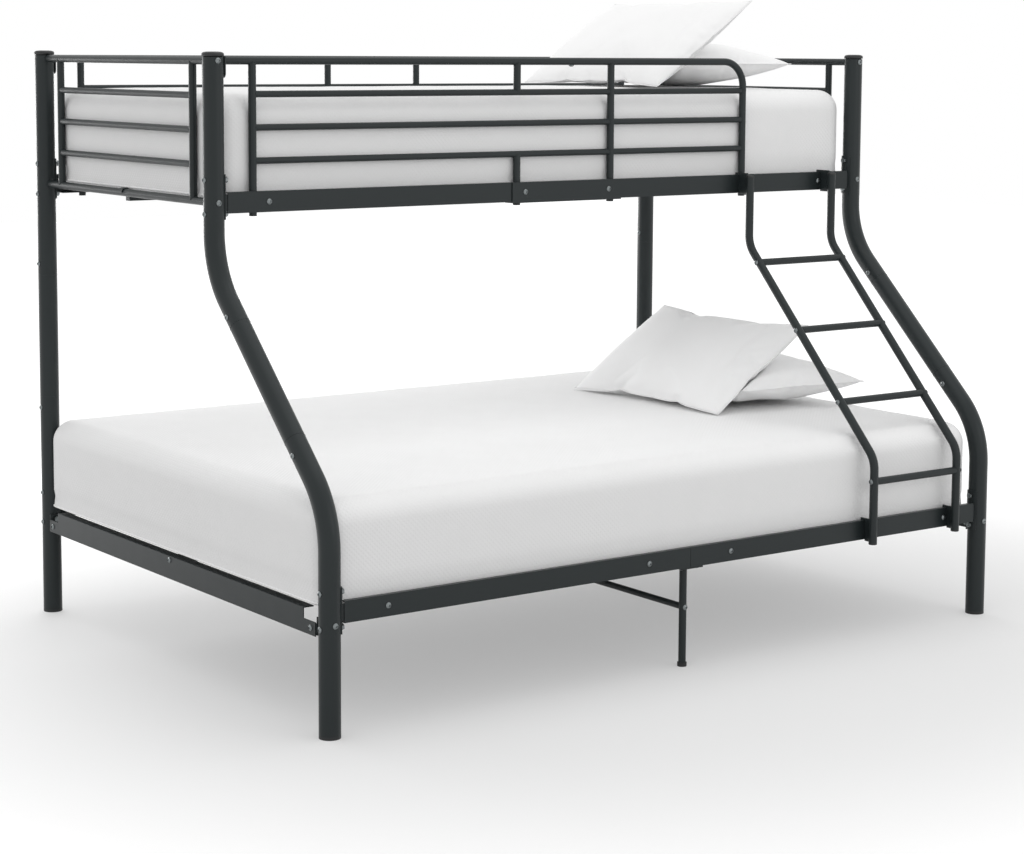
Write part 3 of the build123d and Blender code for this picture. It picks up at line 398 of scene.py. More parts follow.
def percale():
    """Plain-woven combed cotton, white and dry, with slightly uneven threads."""
    look = bpy.context.scene.bunk_bedding
    material, tree, shader, cloth = cloth_material("cotton_percale_white", look.cotton,
                                                   spread=0.012, size=0.12, sheen=0.15)
    # percale has about 0.3 mm between threads, drawn at the thread pitch so that it shows
    weave = crossed(tree, turned_wave(tree, cloth, look.thread_pitch, 0),
                    turned_wave(tree, cloth, look.thread_pitch, 90), "ADD")
    fine = bumped(tree, weave, strength=0.25, depth=0.00015)
    grained(tree, shader, cloth, size=0.02, detail=3.0, strength=0.25, depth=0.001, Normal=fine)
    return material


def floor_paint():
    """Matt seamless studio floor: takes the shadow, with a painted glow that reads as near white
    to the camera.
    """
    look = bpy.context.scene.bunk_studio
    material, tree, shader = new_material("matt_studio_vinyl_painted_glow")
    place = add_node(tree, "ShaderNodeTexCoord").outputs["Object"]
    mottled(tree, shader, place, look.floor, spread=0.004, size=0.8)
    shader.inputs["Roughness"].default_value = 0.75
    shader.inputs["Specular IOR Level"].default_value = 0.2
    rays = add_node(tree, "ShaderNodeLightPath").outputs
    seen = crossed(tree, rays["Is Camera Ray"], rays["Is Glossy Ray"], "MAXIMUM")
    # painted glow, seen by the camera and in gloss: it lightens the shadow under the bed and
    # rises towards the rim, so that the floor runs into the white backdrop
    flat = add_node(tree, "ShaderNodeMapping", {"Location": GLOW_OFFSET, "Scale": GLOW_STRETCH},
                    Vector=place)
    far = add_node(tree, "ShaderNodeVectorMath", {"operation": "LENGTH"}, i0=flat.outputs[0])
    rim = add_node(tree, "ShaderNodeMapRange",
                   {"interpolation_type": "SMOOTHSTEP", "From Min": GLOW_START,
                    "From Max": GLOW_FULL, "To Min": GLOW_NEAR, "To Max": GLOW_FAR},
                   Value=far.outputs["Value"])
    painted_glow = crossed(tree, seen, rim.outputs[0], "MULTIPLY")
    shader.inputs["Emission Color"].default_value = WHITE
    tree.links.new(painted_glow, shader.inputs["Emission Strength"])
    return material


def new_object(name, data):
    """Links data as a new object at the origin."""
    thing = bpy.data.objects.new(name, data)
    bpy.context.collection.objects.link(thing)
    return thing


def smooth(mesh):
    """Smooth shading on every face."""
    mesh.polygons.foreach_set("use_smooth", [True] * len(mesh.polygons))


def mesh_of(sheet, name):
    """Turns a bmesh into a smooth mesh."""
    mesh = bpy.data.meshes.new(name)
    sheet.to_mesh(mesh)
    sheet.free()
    smooth(mesh)
    return mesh


def grid_faces(sheet, rows, way=1):
    """Faces between the rows of a grid of vertices."""
    faces = []
    for lower, upper in zip(rows, rows[1:]):
        for i in range(len(lower) - 1):
            corners = (lower[i], lower[i + 1], upper[i + 1], upper[i])
            faces.append(sheet.faces.new(corners[::way]))
    return faces


def move_points(mesh, points):
    """Gives a mesh's vertices new places."""
    for vert, point in zip(mesh.vertices, points):
        vert.co = point


def applied(thing):
    """Turns an object's live modifiers into its plain mesh."""
    graph = bpy.context.evaluated_depsgraph_get()
    mesh = bpy.data.meshes.new_from_object(thing.evaluated_get(graph))
    thing.modifiers.clear()
    thing.data = mesh
    return thing


def path_mesh(name, loops):
    """Closed loops of edges, each a list of points."""
    points, edges = [], []
    for loop in loops:
        first = len(points)
        points += [tuple(p) for p in loop]
        edges += [(first + i, first + (i + 1) % len(loop)) for i in range(len(loop))]
    mesh = bpy.data.meshes.new(name)
    mesh.from_pydata(points, edges, [])
    return mesh


def bead_tree():
    """Node tree that sweeps a round bead along closed loops of edges, made once."""
    known = bpy.data.node_groups.get("bead_along_edges")
    if known:
        return known
    tree = bpy.data.node_groups.new("bead_along_edges", "GeometryNodeTree")
    for name, kind in (("Geometry", "Geometry"), ("Radius", "Float"), ("Sides", "Int"),
                       ("Finish", "Material")):
        tree.interface.new_socket(name, in_out="INPUT", socket_type=f"NodeSocket{kind}")
    tree.interface.new_socket("Geometry", in_out="OUTPUT", socket_type="NodeSocketGeometry")
    given = add_node(tree, "NodeGroupInput").outputs
    curve = add_node(tree, "GeometryNodeMeshToCurve", Mesh=given["Geometry"])
    ring = add_node(tree, "GeometryNodeCurvePrimitiveCircle", Radius=given["Radius"],
                    Resolution=given["Sides"])
    swept = add_node(tree, "GeometryNodeCurveToMesh", Curve=curve.outputs["Curve"],
                     Profile_Curve=ring.outputs["Curve"])
    soft = add_node(tree, "GeometryNodeSetShadeSmooth", Geometry=swept.outputs["Mesh"])
    coated = add_node(tree, "GeometryNodeSetMaterial", Geometry=soft.outputs["Geometry"],
                      Material=given["Finish"])
    add_node(tree, "NodeGroupOutput", Geometry=coated.outputs["Geometry"])
    return tree


def grown(name, loops, radius, sides, finish):
    """Beads along closed loops, grown by the node tree, as a plain mesh."""
    thing = new_object(name, path_mesh(name, loops))
    modifier = thing.modifiers.new(name, "NODES")
    modifier.node_group = bead_tree()
    values = {"Radius": radius, "Sides": sides, "Finish": finish}
    for item in modifier.node_group.interface.items_tree:
        if item.in_out == "INPUT" and item.name in values:
            modifier[item.identifier] = values[item.name]
    return applied(thing)


def finish_piece(piece, body, slot, *replaced):
    """Names what a piece moves with and hides the CAD nodes it stands for; the slot, for what it
    is made of, is not used.
    """
    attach(piece, body)
    if replaced:
        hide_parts(*replaced)


def dress(node, material):
    """Gives a CAD node one material."""
    for slot in node.material_slots:
        slot.material = material


def turns(count):
    """Angles of a full turn in equal steps."""
    return [2 * math.pi * i / count for i in range(count)]


def clamped(value):
    """A value kept between 0 and 1."""
    return min(max(value, 0.0), 1.0)


def post_centre(side, end):
    """Centre of a post's upper tube, seen from above."""
    low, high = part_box(f"{side}_{end}_post_upper")
    return (low.x + high.x) / 2, high.y - POST_RADIUS


class BUNK_OT_steel(bpy.types.Operator):
    """Coats the tubes, plates and slats"""
    bl_idname = "bunk.steel"
    bl_label = "Coat the steel"

    def execute(self, context):
        coat = powder_coat()
        skipped = {*CAP_NODES, *BOLT_NODES, *BEDDING_NODES}
        for name, node in frame["nodes"].items():
            if name not in skipped:
                dress(node, coat)
        return {"FINISHED"}


class BUNK_OT_fasteners(bpy.types.Operator):
    """Plates the bolts and nuts"""
    bl_idname = "bunk.fasteners"
    bl_label = "Plate the fasteners"

    def execute(self, context):
        zinc = zinc_plate()
        for name in BOLT_NODES:
            dress(frame["nodes"][name], zinc)
        return {"FINISHED"}


def turned_caps(look):
    """Domed caps with a rim, one on each post, turned from one outline."""
    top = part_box("back_foot_post_upper")[1].z + CAP_SEAT
    wall, lip = POST_RADIUS - CAP_WALL, POST_RADIUS + look.cap_lip
    outline = [(wall, top - CAP_SKIRT), (wall, top), (lip, top),
               (lip + CAP_FLARE, top + look.cap_rise * CAP_SHOULDER)]
    outline += [(lip * math.cos(t) ** 0.5, top + look.cap_rise * (0.5 + 0.5 * math.sin(t)))
                for t in map(math.radians, CAP_DOME)]
    sheet = bmesh.new()
    for x, y in (post_centre(side, end) for side in SIDES for end in ENDS):
        rings = [[sheet.verts.new((x + r * math.cos(t), y + r * math.sin(t), z))
                  for t in turns(RING_POINTS)] for r, z in outline]
        grid_faces(sheet, [ring + ring[:1] for ring in rings])
        sheet.faces.new(rings[0][::-1])
        sheet.faces.new(rings[-1])
    bmesh.ops.recalc_face_normals(sheet, faces=sheet.faces)
    return mesh_of(sheet, "post_top_cap_shells")


class BUNK_OT_caps(bpy.types.Operator):
    """Finishes the plastic caps and feet"""
    bl_idname = "bunk.caps"
    bl_label = "Finish the caps"

    def execute(self, context):
        plastic = moulded_plastic()
        for name in CAP_NODES:
            dress(frame["nodes"][name], plastic)
        mesh = turned_caps(context.scene.bunk_steel)
        mesh.materials.append(plastic)
        piece = new_object("post_top_cap_shells", mesh)
        finish_piece(piece, "frame", "plastic", "post_top_caps")
        return {"FINISHED"}


def circle(centre, axis, radius):
    """Closed line round a tube."""
    side = axis.orthogonal().normalized()
    other = axis.cross(side)
    return [centre + side * (radius * math.cos(t)) + other * (radius * math.sin(t))
            for t in turns(RING_POINTS)]


def sloping_ends(node):
    """Both ends and the direction of a sloping straight tube, found from its box."""
    low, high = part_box(node)
    size = high - low
    up = along = SLOPE_GUESS
    for _ in range(SLOPE_ROUNDS):
        run, rise = size.y - 2 * POST_RADIUS * up, size.z - 2 * POST_RADIUS * along
        length = math.hypot(run, rise)
        along, up = run / length, rise / length
    axis = Vector((0, along, up))
    centre = (low + high) / 2
    return centre - axis * (length / 2), centre + axis * (length / 2), axis


def joint_lines():
    """Rings where the tubes of each post meet."""
    rings = []
    for end in ENDS:
        x, y = post_centre("back", end)
        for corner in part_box(f"back_{end}_post_middle"):
            rings.append(circle(Vector((x, y, corner.z)), AXIS_Z, POST_RADIUS))
        low, high, axis = sloping_ends(f"front_{end}_post_middle")
        rings += [circle(low, axis, POST_RADIUS), circle(high, axis, POST_RADIUS)]
    return rings


def coated_beads(name, loops, radius):
    """Beads of coated steel on the frame."""
    coat = bpy.data.materials["polyester_powder_coat_anthracite"]
    piece = grown(name, loops, radius, BEAD_SIDES, coat)
    finish_piece(piece, "frame", "steel_paint")


class BUNK_OT_joints(bpy.types.Operator):
    """Draws the lines where the tubes of each post meet"""
    bl_idname = "bunk.joints"
    bl_label = "Draw the joint lines"

    def execute(self, context):
        coated_beads("post_joint_lines", joint_lines(), context.scene.bunk_steel.joint)
        return {"FINISHED"}


def weld_loop(centre, branch, main, main_radius, branch_radius):
    """Where a branch tube meets a main tube: the exact line of their surfaces."""
    across = branch.cross(main)
    loop = []
    for turn in turns(WELD_POINTS):
        side = branch_radius * math.cos(turn)
        reach = math.sqrt(main_radius ** 2 - side ** 2) if side < main_radius else 0.0
        loop.append(Vector(centre) + branch * reach + across * side
                    + main * (branch_radius * math.sin(turn)))
    return loop


def end_frame_welds(look):
    """Weld lines of both end frames."""
    loops = []
    rail, tube, bar = look.tube / 2, look.tube / 2 - WELD_SINK, look.bar / 2
    for end in ENDS:
        low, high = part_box(f"upper_{end}_end_frame")
        x = (low.x + high.x) / 2
        bottom, top = low.z + rail, high.z - rail
        front, back = (post_centre(side, end)[1] for side in SIDES)
        uprights = (front + look.upright_inset, back - look.upright_inset)
        for y in uprights:
            loops.append(weld_loop((x, y, bottom), AXIS_Z, AXIS_Y, rail, tube))
            loops.append(weld_loop((x, y, top), -AXIS_Z, AXIS_Y, rail, tube))
        for i in range(look.bar_count):
            z = top - look.bar_pitch * (i + 1)
            for y, way in zip(uprights, (AXIS_Y, -AXIS_Y)):
                loops.append(weld_loop((x, y, z), way, AXIS_Z, rail, bar))
    return loops


def middle_x(node):
    """Middle of a CAD node's box along the bed."""
    low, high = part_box(node)
    return ((low + high) / 2).x


def guard_welds(look):
    """Weld lines of the front and back guards."""
    loops = []
    rail, tube, bar = look.tube / 2, look.tube / 2 - WELD_SINK, look.bar / 2
    foot_end = middle_x("front_foot_post_lower") + look.end_upright
    head_ends = {"front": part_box("front_guard_head_half")[1].x - rail,
                 "back": middle_x("front_head_post_lower") - look.end_upright}
    for side in SIDES:
        low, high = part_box(f"{side}_guard_foot_half")
        y = (low.y + high.y) / 2
        top = high.z - rail
        head_end = head_ends[side]
        tall = [foot_end, look.middle_upright] + ([head_end] if side == "back" else [])
        for x in tall + [-look.middle_upright]:
            loops.append(weld_loop((x, y, top), -AXIS_Z, AXIS_X, rail, tube))
        for i in range(look.bar_count):
            z = top - look.guard_pitch * (i + 1)
            for x, way in ((foot_end, AXIS_X), (head_end, -AXIS_X),
                           (look.middle_upright, AXIS_X), (look.middle_upright, -AXIS_X)):
                loops.append(weld_loop((x, y, z), way, AXIS_Z, rail, bar))
    return loops


class BUNK_OT_welds(bpy.types.Operator):
    """Lays the weld beads of the end frames and guards"""
    bl_idname = "bunk.welds"
    bl_label = "Lay the welds"

    def execute(self, context):
        look = context.scene.bunk_steel
        coated_beads("weld_beads", end_frame_welds(look) + guard_welds(look), look.bead)
        return {"FINISHED"}


def spaced(low, high, first, last):
    """Places from low to high, close together in both edges and even between them."""
    near = [low + first * i / EDGE_CELLS for i in range(EDGE_CELLS)]
    room = high - low - first - last
    count = max(1, round(room / MATTRESS_STEP))
    middle = [low + first + room * i / count for i in range(count + 1)]
    return near + middle + [high - last + last * (i + 1) / EDGE_CELLS for i in range(EDGE_CELLS)]


def rounded(point, low, high, look):
    """A point of a box moved onto the box with rounded edges."""
    under = point.z < low.z + look.foot_edge
    radii = Vector((look.edge, look.edge, look.foot_edge if under else look.edge))
    inner = Vector([min(max(point[i], low[i] + radii[i]), high[i] - radii[i])
                    for i in range(3)])
    offset = Vector([(point[i] - inner[i]) / radii[i] for i in range(3)])
    if offset.length > 1:
        offset.normalize()
    return inner + Vector([offset[i] * radii[i] for i in range(3)])


def slab_mesh(name, low, high, look):
    """A box of square cells whose edges are rounded, wide at the top and small at the foot."""
    xs, ys, zs = (spaced(low[i], high[i], near, look.edge)
                  for i, near in enumerate((look.edge, look.edge, look.foot_edge)))
    sheet = bmesh.new()
    for axis, first, second in ((2, xs, ys), (1, xs, zs), (0, ys, zs)):
        for fixed in (low[axis], high[axis]):
            grid_faces(sheet, [[sheet.verts.new((*(a, b)[:axis], fixed, *(a, b)[axis:]))
                                for a in first] for b in second])
    bmesh.ops.remove_doubles(sheet, verts=sheet.verts, dist=MERGE_DISTANCE)
    for vert in sheet.verts:
        vert.co = rounded(vert.co, low, high, look)
    bmesh.ops.recalc_face_normals(sheet, faces=sheet.faces)
    return mesh_of(sheet, name)


def crowned(mesh, low, high, look):
    """Raises the top towards its middle and adds the filling's unevenness."""
    for vert in mesh.vertices:
        point = vert.co
        inset = min(point.x - low.x, high.x - point.x, point.y - low.y, high.y - point.y)
        share = clamped((inset - look.edge * CROWN_START) / look.crown_run)
        height = clamped((point.z - low.z) / (high.z - low.z))
        rise = look.crown * (1 - (1 - share) ** 2)
        lump = sum(noise.noise(point * pitch) * size for pitch, size in LUMPS)
        vert.co = point + Vector((0, 0, (rise + lump) * height ** 2))


def surface_of(mesh, points=None):
    """Search tree of a mesh's surface, or of its faces on other points."""
    places = points or [vert.co.copy() for vert in mesh.vertices]
    return BVHTree.FromPolygons(places, [tuple(face.vertices) for face in mesh.polygons])


def obstacles(names):
    """Surfaces of the CAD nodes that a soft piece must give way to."""
    return [surface_of(frame["nodes"][name].data) for name in names]


def giving_way(points, trees, gap):
    """Points moved off the frame, as a soft edge is pressed in where it touches a tube."""
    moved = []
    for point in points:
        for tree in trees:
            spot, normal, _, distance = tree.find_nearest(point, TOUCH_REACH)
            if spot is None:
                continue
            depth = (point - spot).dot(normal)
            if depth < -INSIDE_SHARE * distance:
                point = spot + normal * gap
            elif depth > 0 and distance < gap:
                point = spot + (point - spot).normalized() * gap
        moved.append(point)
    return moved


def dented(points, node, lift, gap):
    """Points pressed back where a sloping stile would meet the lifted mattress."""
    low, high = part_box(node)
    middle, half = (low.x + high.x) / 2, (high.x - low.x) / 2 + gap
    tree = obstacles([node])[0]
    moved = []
    for point in points:
        apart = clamped((abs(point.x - middle) - half) / DENT_RUN)
        share = 1 - apart * apart * (3 - 2 * apart)
        if share > 0:
            start = Vector((middle, point.y, point.z)) + lift - DENT_WAY * DENT_REACH
            spot, _, _, distance = tree.ray_cast(start, DENT_WAY, DENT_REACH + gap)
            if spot is not None:
                point = point - DENT_WAY * ((DENT_REACH + gap - distance) * share)
        moved.append(point)
    return moved


def clear_of_frame(points, level, trees, gap):
    """A cover's points moved clear of the frame, at rest and for the lower one at its lift."""
    points = giving_way(points, trees, gap)
    if level == "lower":
        joint = next(item for item in frame["record"]["behaviour"]["joints"]
                     if item["name"] == "lower_mattress_lift")
        lift = Vector((0, 0, joint["range_m"][1]))
        for stile in STILES:
            points = dented(points, stile, lift, gap)
        raised = giving_way([point + lift for point in points], obstacles(OVER_LOWER), gap)
        points = [point - lift for point in raised]
    return points


def slab_uv(mesh, low):
    """Cloth coordinates of a mattress in metres: flat on the top, wrapped round the sides."""
    layer = mesh.uv_layers.new(name="cloth")
    for face in mesh.polygons:
        facing = face.normal
        for index in face.loop_indices:
            point = mesh.vertices[mesh.loops[index].vertex_index].co
            if abs(facing.z) > FLAT_SHARE:
                place = (point.x, point.y)
            else:
                along = point.y if abs(facing.x) > abs(facing.y) else point.x
                place = (along, point.z - low.z)
            layer.data[index].uv = place


def ring_at(low, high, corner, z):
    """Closed line round a mattress, in short steps."""
    corners = ((high.x - corner, high.y - corner, 0), (low.x + corner, high.y - corner, 90),
               (low.x + corner, low.y + corner, 180), (high.x - corner, low.y + corner, 270))
    loop = []
    for x, y, start in corners:
        for i in range(CORNER_POINTS + 1):
            turn = math.radians(start + 90 * i / CORNER_POINTS)
            loop.append(Vector((x + corner * math.cos(turn), y + corner * math.sin(turn), z)))
    fine = []
    for here, there in zip(loop, loop[1:] + loop[:1]):
        count = max(1, round((there - here).length / PIPING_STEP))
        fine += [here.lerp(there, i / count) for i in range(count)]
    return fine


class BUNK_OT_mattresses(bpy.types.Operator):
    """Makes both mattresses with their covers and piping"""
    bl_idname = "bunk.mattresses"
    bl_label = "Make the mattresses"

    def execute(self, context):
        look = context.scene.bunk_bedding
        knit = double_knit()
        for level in LEVELS:
            node = f"{level}_mattress"
            low, high = (Vector(corner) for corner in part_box(node))
            low.x -= look.foot_reach if level == "lower" else 0.0
            high.x += look.head_reach
            top = high.copy()
            top.z -= look.crown
            mesh = slab_mesh(f"{level}_mattress_cover", low, top, look)
            crowned(mesh, low, top, look)
            trees = obstacles(NEAR[level])
            points = [vert.co.copy() for vert in mesh.vertices]
            move_points(mesh, clear_of_frame(points, level, trees, look.clearance))
            slab_uv(mesh, low)
            mesh.materials.append(knit)
            cover = new_object(f"{level}_mattress_cover", mesh)
            finish_piece(cover, node, "mattress", node)
            line = ring_at(low, high, look.edge, low.z + look.foot_edge)
            line = giving_way(line, trees, look.clearance + look.tape)
            piping = grown(f"{level}_mattress_piping", [line], look.tape, PIPING_SIDES, knit)
            finish_piece(piping, node, "mattress")
        return {"FINISHED"}


def sewn_panels(length, width):
    """Two flat panels joined along their edges, as a case lies before it is filled."""
    across = round(length / PILLOW_CELL)
    along = round(width / PILLOW_CELL)
    sheet = bmesh.new()
    layer = sheet.loops.layers.uv.new("cloth")
    rim = {}
    for way in (1, -1):
        rows = []
        for j in range(along + 1):
            row = []
            for i in range(across + 1):
                u, v = 2 * i / across - 1, 2 * j / along - 1
                # the sides bow out a little, so that they are straight once the case is filled
                x = u * (length / 2 + EDGE_BOW * (1 - v * v))
                y = v * (width / 2 + EDGE_BOW * (1 - u * u))
                if i in (0, across) or j in (0, along):
                    if (i, j) not in rim:
                        rim[i, j] = sheet.verts.new((x, y, 0))
                    row.append(rim[i, j])
                else:
                    puff = FIRST_PUFF * (1 - u * u) * (1 - v * v)
                    row.append(sheet.verts.new((x, y, way * puff)))
            rows.append(row)
        for face in grid_faces(sheet, rows, way):
            for loop in face.loops:
                loop[layer].uv = (loop.vert.co.x, loop.vert.co.y)
    sheet.verts.index_update()
    order = [rim[i, 0] for i in range(across)] + [rim[across, j] for j in range(along)]
    order += [rim[i, along] for i in range(across, 0, -1)]
    order += [rim[0, j] for j in range(along, 0, -1)]
    edge = [vert.index for vert in order]
    return mesh_of(sheet, "pillow_case"), edge


def filled(case):
    """Simulates the case as it is stuffed: pressure inside woven cloth, with no gravity."""
    scene = bpy.context.scene
    cloth = case.modifiers.new("filling", "CLOTH")
    for name, value in CLOTH.items():
        setattr(cloth.settings, name, value)
    cloth.settings.effector_weights.gravity = 0
    cloth.collision_settings.use_collision = False
    cloth.point_cache.frame_end = PILLOW_FRAMES
    for number in range(1, PILLOW_FRAMES + 1):
        scene.frame_set(number)
    applied(case)
    scene.frame_set(1)


def swollen(flat, length, width, height):
    """Points of a plump pillow by rule, from those of its flat case."""
    points = []
    for point in flat:
        u, v = 2 * point.x / length, 2 * point.y / width
        across, along = max(1 - u * u, 0.0), max(1 - v * v, 0.0)
        side = 1 if point.z > 0 else -1 if point.z < 0 else 0
        points.append(Vector((point.x * (1 - DRAWN_ALONG * along),
                              point.y * (1 - DRAWN_ACROSS * across),
                              side * (across * along) ** SWELL_POWER * height / 2)))
    return points


def fitted(points, sizes):
    """Points scaled to a pillow's real size round its centre."""
    lows = [min(p[i] for p in points) for i in range(3)]
    highs = [max(p[i] for p in points) for i in range(3)]
    return [Vector([(p[i] - (lows[i] + highs[i]) / 2) * sizes[i] / (highs[i] - lows[i])
                    for i in range(3)]) for p in points]


def stuffed_case(look):
    """A filled case at the origin: its object, the indices of its rim and its points."""
    sizes = (look.pillow_length, look.pillow_width, look.pillow_height)
    length, width = sizes[0] * PANEL_EASE, sizes[1] * PANEL_EASE
    mesh, edge = sewn_panels(length, width)
    case = new_object("pillow_case", mesh)
    flat = [vert.co.copy() for vert in mesh.vertices]
    shape = fitted(swollen(flat, length, width, sizes[2]), sizes)
    filled(case)
    # the filling's own wrinkles, held near the plump shape so that no corner curls over
    loose = fitted([vert.co.copy() for vert in case.data.vertices], sizes)
    shape = [a.lerp(b, WRINKLE_SHARE) for a, b in zip(shape, loose)]
    return case, edge, shape


def pillow_matrix(place, turn, tilt, look, bed_top):
    """Where a pillow lies: a flat one on the mattress, a leaning one with its foot edge on it."""
    turn, tilt = math.radians(turn), math.radians(tilt)
    rise = look.pillow_height / 2
    if tilt:
        rise = look.pillow_length / 2 * math.sin(tilt) + EDGE_HEIGHT
    return (Matrix.Translation((*place, bed_top + rise)) @ Matrix.Rotation(turn, 4, "Z")
            @ Matrix.Rotation(-tilt, 4, "Y"))


def bell(distance, width):
    """Height of a bell curve at a distance from its middle."""
    return math.exp(-(distance / width) ** 2)


def creased(point, look, strength):
    """A shallow fold that runs down the face of a pillow near its front side."""
    u, v = 2 * point.x / look.pillow_length, 2 * point.y / look.pillow_width
    across, along = max(1 - u * u, 0.0), max(1 - v * v, 0.0)
    wander = CREASE_PLACE + CREASE_WANDER * math.sin(CREASE_WAVE * u + CREASE_PHASE)
    depth = strength * bell(v - wander, CREASE_WIDTH) * across
    ridge = RIDGE_SHARE * strength * bell(v - wander - RIDGE_OFFSET, RIDGE_WIDTH) * across
    lump = noise.noise(point * FILL_LUMPS + Vector((strength * FILL_SEED, 0, 0))) * FILL_LUMP
    side = 1 if point.z > 0 else -1
    return Vector((point.x, point.y,
                   point.z + (ridge - depth) * (side > 0) + lump * side * (across * along)))


def averaged(values, neighbours):
    """Values smoothed over a mesh, never above what they were."""
    for _ in range(PRESS_ROUNDS):
        means = [sum(values[n] for n in near) / len(near) for near in neighbours]
        values = [min(value, mean) for value, mean in zip(values, means)]
    return values


def pressed(points, mesh, roof, base):
    """A flat pillow's points pressed down under the pillow that leans on it."""
    own = surface_of(mesh, points)
    shares = []
    for point in points:
        ceiling = roof.ray_cast(Vector((point.x, point.y, base - PRESS_START)), AXIS_Z)[0]
        top = own.ray_cast(Vector((point.x, point.y, RAY_TOP)), DOWN)[0]
        share = 1.0
        if ceiling and top and top.z > base + PRESS_LEAST:
            room = max(ceiling.z - PRESS_GAP - base, PRESS_FLOOR)
            share = min(room / (top.z - base), 1.0)
        shares.append(share)
    neighbours = [[] for _ in points]
    for edge in mesh.edges:
        a, b = edge.vertices
        neighbours[a].append(b)
        neighbours[b].append(a)
    shares = averaged(shares, neighbours)
    return [Vector((p.x, p.y, base + (p.z - base) * share)) for p, share in zip(points, shares)]


def resting(points, bed):
    """Points kept just above the bed under them."""
    kept = []
    for point in points:
        hit = bed.ray_cast(Vector((point.x, point.y, RAY_TOP)), DOWN)[0]
        floor = hit.z + REST_GAP if hit else point.z
        kept.append(Vector((point.x, point.y, max(point.z, floor))))
    return kept


def pillow_case(name, pattern, points, cotton, mirrored):
    """A case on its final points, with one finer level of cells."""
    mesh = pattern.copy()
    mesh.name = name
    move_points(mesh, points)
    if mirrored:
        mesh.flip_normals()
    mesh.materials.append(cotton)
    smooth(mesh)
    pillow = new_object(name, mesh)
    detail = pillow.modifiers.new("fine", "SUBSURF")
    detail.levels = detail.render_levels = 1
    return applied(pillow)


class BUNK_OT_pillows(bpy.types.Operator):
    """Sews, fills and lays the four pillows"""
    bl_idname = "bunk.pillows"
    bl_label = "Make the pillows"

    def execute(self, context):
        look = context.scene.bunk_bedding
        cotton = percale()
        case, edge, shape = stuffed_case(look)
        for level in LEVELS:
            bed = surface_of(bpy.data.objects[f"{level}_mattress_cover"].data)
            bed_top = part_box(f"{level}_mattress")[1].z
            roof = None
            for kind in ("leaning", "flat"):
                key = f"{level}_{kind}"
                place, turn, tilt, flips, crease = PILLOWS[key]
                flip = Matrix.Diagonal(flips)
                matrix = pillow_matrix(place, turn, tilt, look, bed_top)
                points = [matrix @ creased(flip @ p, look, crease) for p in shape]
                if roof is not None:
                    points = pressed(points, case.data, roof, bed_top)
                points = resting(points, bed)
                mirrored = flips[0] * flips[1] < 0
                pillow = pillow_case(f"{key}_pillow_case", case.data, points, cotton, mirrored)
                roof = surface_of(pillow.data)
                node = f"{key}_pillow"
                finish_piece(pillow, node, "pillow", node)
                seam = grown(f"{key}_pillow_seam", [[points[i] for i in edge]], look.seam,
                             BEAD_SIDES, cotton)
                finish_piece(seam, node, "pillow")
        bpy.data.objects.remove(case)
        return {"FINISHED"}


def area_lamp(name, place, target, width, height, power):
    """A soft white lamp that faces a point."""
    data = bpy.data.lights.new(name, "AREA")
    data.shape = "RECTANGLE"
    data.size, data.size_y = width, height
    data.energy = power
    lamp = new_object(name, data)
    lamp.location = place
    facing = Vector(target) - Vector(place)
    lamp.rotation_euler = facing.to_track_quat("-Z", "Y").to_euler()


def studio_world():
    """Even light all round, and plain white where the camera or a gloss sees past the floor."""
    world = bpy.data.worlds.new("studio")
    bpy.context.scene.world = world
    world.use_nodes = True
    tree = world.node_tree
    tree.nodes.clear()
    rays = add_node(tree, "ShaderNodeLightPath").outputs
    seen = crossed(tree, rays["Is Camera Ray"], rays["Is Glossy Ray"], "MAXIMUM")
    seen = crossed(tree, seen, rays["Is Transmission Ray"], "MAXIMUM")
    even, white = (add_node(tree, "ShaderNodeBackground", {"Color": WHITE, "Strength": strength})
                   for strength in (AMBIENT, 1.0))
    mixed = add_node(tree, "ShaderNodeMixShader", i0=seen, i1=even.outputs[0],
                     i2=white.outputs[0])
    add_node(tree, "ShaderNodeOutputWorld", Surface=mixed.outputs[0])


def camera_turn(look):
    """Rotation of the camera from its azimuth, elevation and roll."""
    azimuth, elevation, roll = map(math.radians, (look.azimuth, look.elevation, look.roll))
    back = Vector((math.sin(azimuth) * math.cos(elevation),
                   -math.cos(azimuth) * math.cos(elevation), math.sin(elevation)))
    right = (-back).cross(AXIS_Z).normalized()
    up = right.cross(-back)
    turned_right = right * math.cos(roll) + up * math.sin(roll)
    turned_up = up * math.cos(roll) - right * math.sin(roll)
    return Matrix((turned_right, turned_up, back)).transposed()


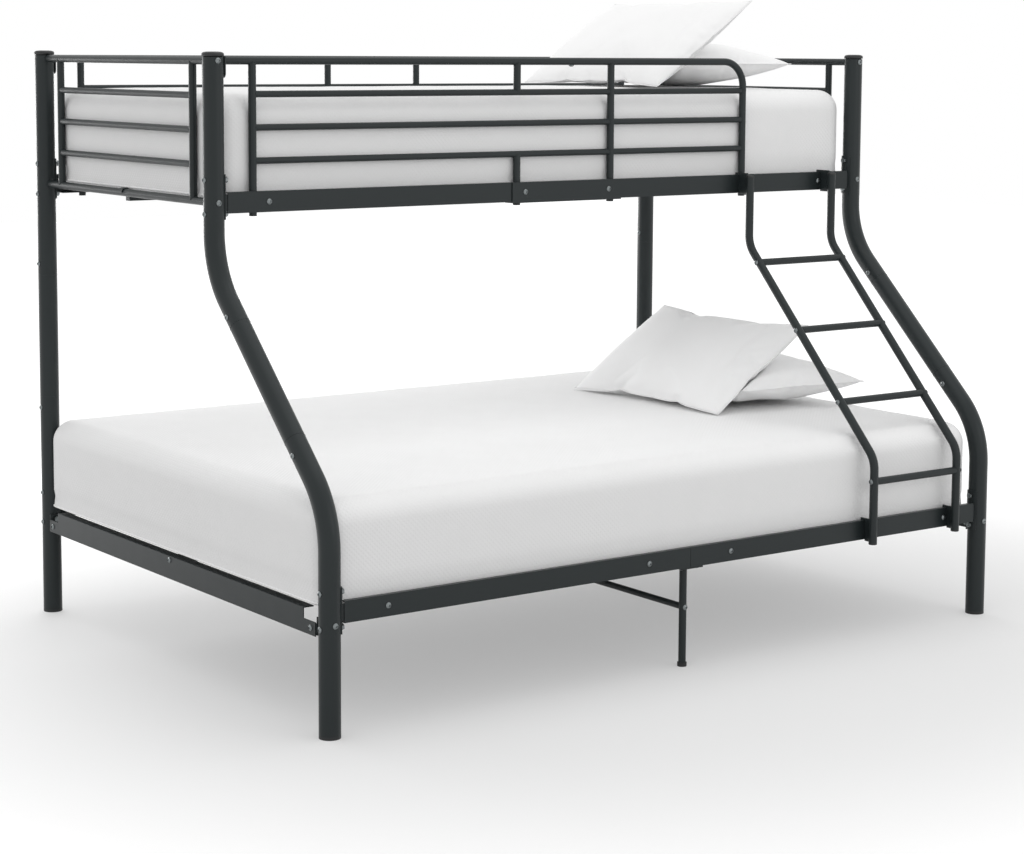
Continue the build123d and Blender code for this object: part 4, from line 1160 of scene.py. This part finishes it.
class BUNK_OT_stage(bpy.types.Operator):
    """Adds the floor, the lamps and the camera"""
    bl_idname = "bunk.stage"
    bl_label = "Set the stage"

    def execute(self, context):
        look = context.scene.bunk_studio
        scene = context.scene
        scene.view_settings.view_transform = "Standard"
        mesh = bpy.data.meshes.new("studio_floor")
        corners = [(x * FLOOR_REACH, y * FLOOR_REACH, 0)
                   for x, y in ((-1, -1), (1, -1), (1, 1), (-1, 1))]
        mesh.from_pydata(corners, [], [(0, 1, 2, 3)])
        mesh.materials.append(floor_paint())
        new_object("studio_floor", mesh)
        studio_world()
        for lamp in LAMPS:
            area_lamp(*lamp)
        camera = bpy.data.cameras.new("photo_camera")
        camera.sensor_fit = "HORIZONTAL"
        camera.lens = look.focal_length
        camera.shift_y = look.shift
        camera.clip_end = CAMERA_REACH
        holder = new_object("photo_camera", camera)
        holder.matrix_world = Matrix.Translation(CAMERA_PLACE) @ camera_turn(look).to_4x4()
        scene.camera = holder
        return {"FINISHED"}


class BUNK_PT_panel(bpy.types.Panel):
    """Lists the bed's operators and sizes"""
    bl_idname = "BUNK_PT_panel"
    bl_label = "Bunk bed"
    bl_space_type = "VIEW_3D"
    bl_region_type = "UI"
    bl_category = "Bunk bed"

    def draw(self, context):
        for operator in OPERATORS:
            self.layout.operator(operator.bl_idname)
        for name in GROUPS:
            look = getattr(context.scene, name)
            for prop in look.bl_rna.properties:
                if prop.identifier not in ("rna_type", "name"):
                    self.layout.prop(look, prop.identifier)


GROUPS = {"bunk_steel": SteelLook, "bunk_bedding": BeddingLook, "bunk_studio": StudioLook}
OPERATORS = (BUNK_OT_steel, BUNK_OT_fasteners, BUNK_OT_caps, BUNK_OT_joints, BUNK_OT_welds,
             BUNK_OT_mattresses, BUNK_OT_pillows, BUNK_OT_stage)


def register():
    """Registers the classes and puts their sizes on the scene."""
    for kind in (*GROUPS.values(), *OPERATORS, BUNK_PT_panel):
        bpy.utils.register_class(kind)
    for name, kind in GROUPS.items():
        setattr(bpy.types.Scene, name, PointerProperty(type=kind))


def unregister():
    """Takes the classes away again."""
    for name in GROUPS:
        delattr(bpy.types.Scene, name)
    for kind in (BUNK_PT_panel, *reversed(OPERATORS), *reversed(GROUPS.values())):
        bpy.utils.unregister_class(kind)


def main():
    """Runs every operator in order."""
    register()
    for operator in OPERATORS:
        group, name = operator.bl_idname.split(".")
        getattr(getattr(bpy.ops, group), name)()
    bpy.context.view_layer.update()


if __name__ == "__main__":
    main()
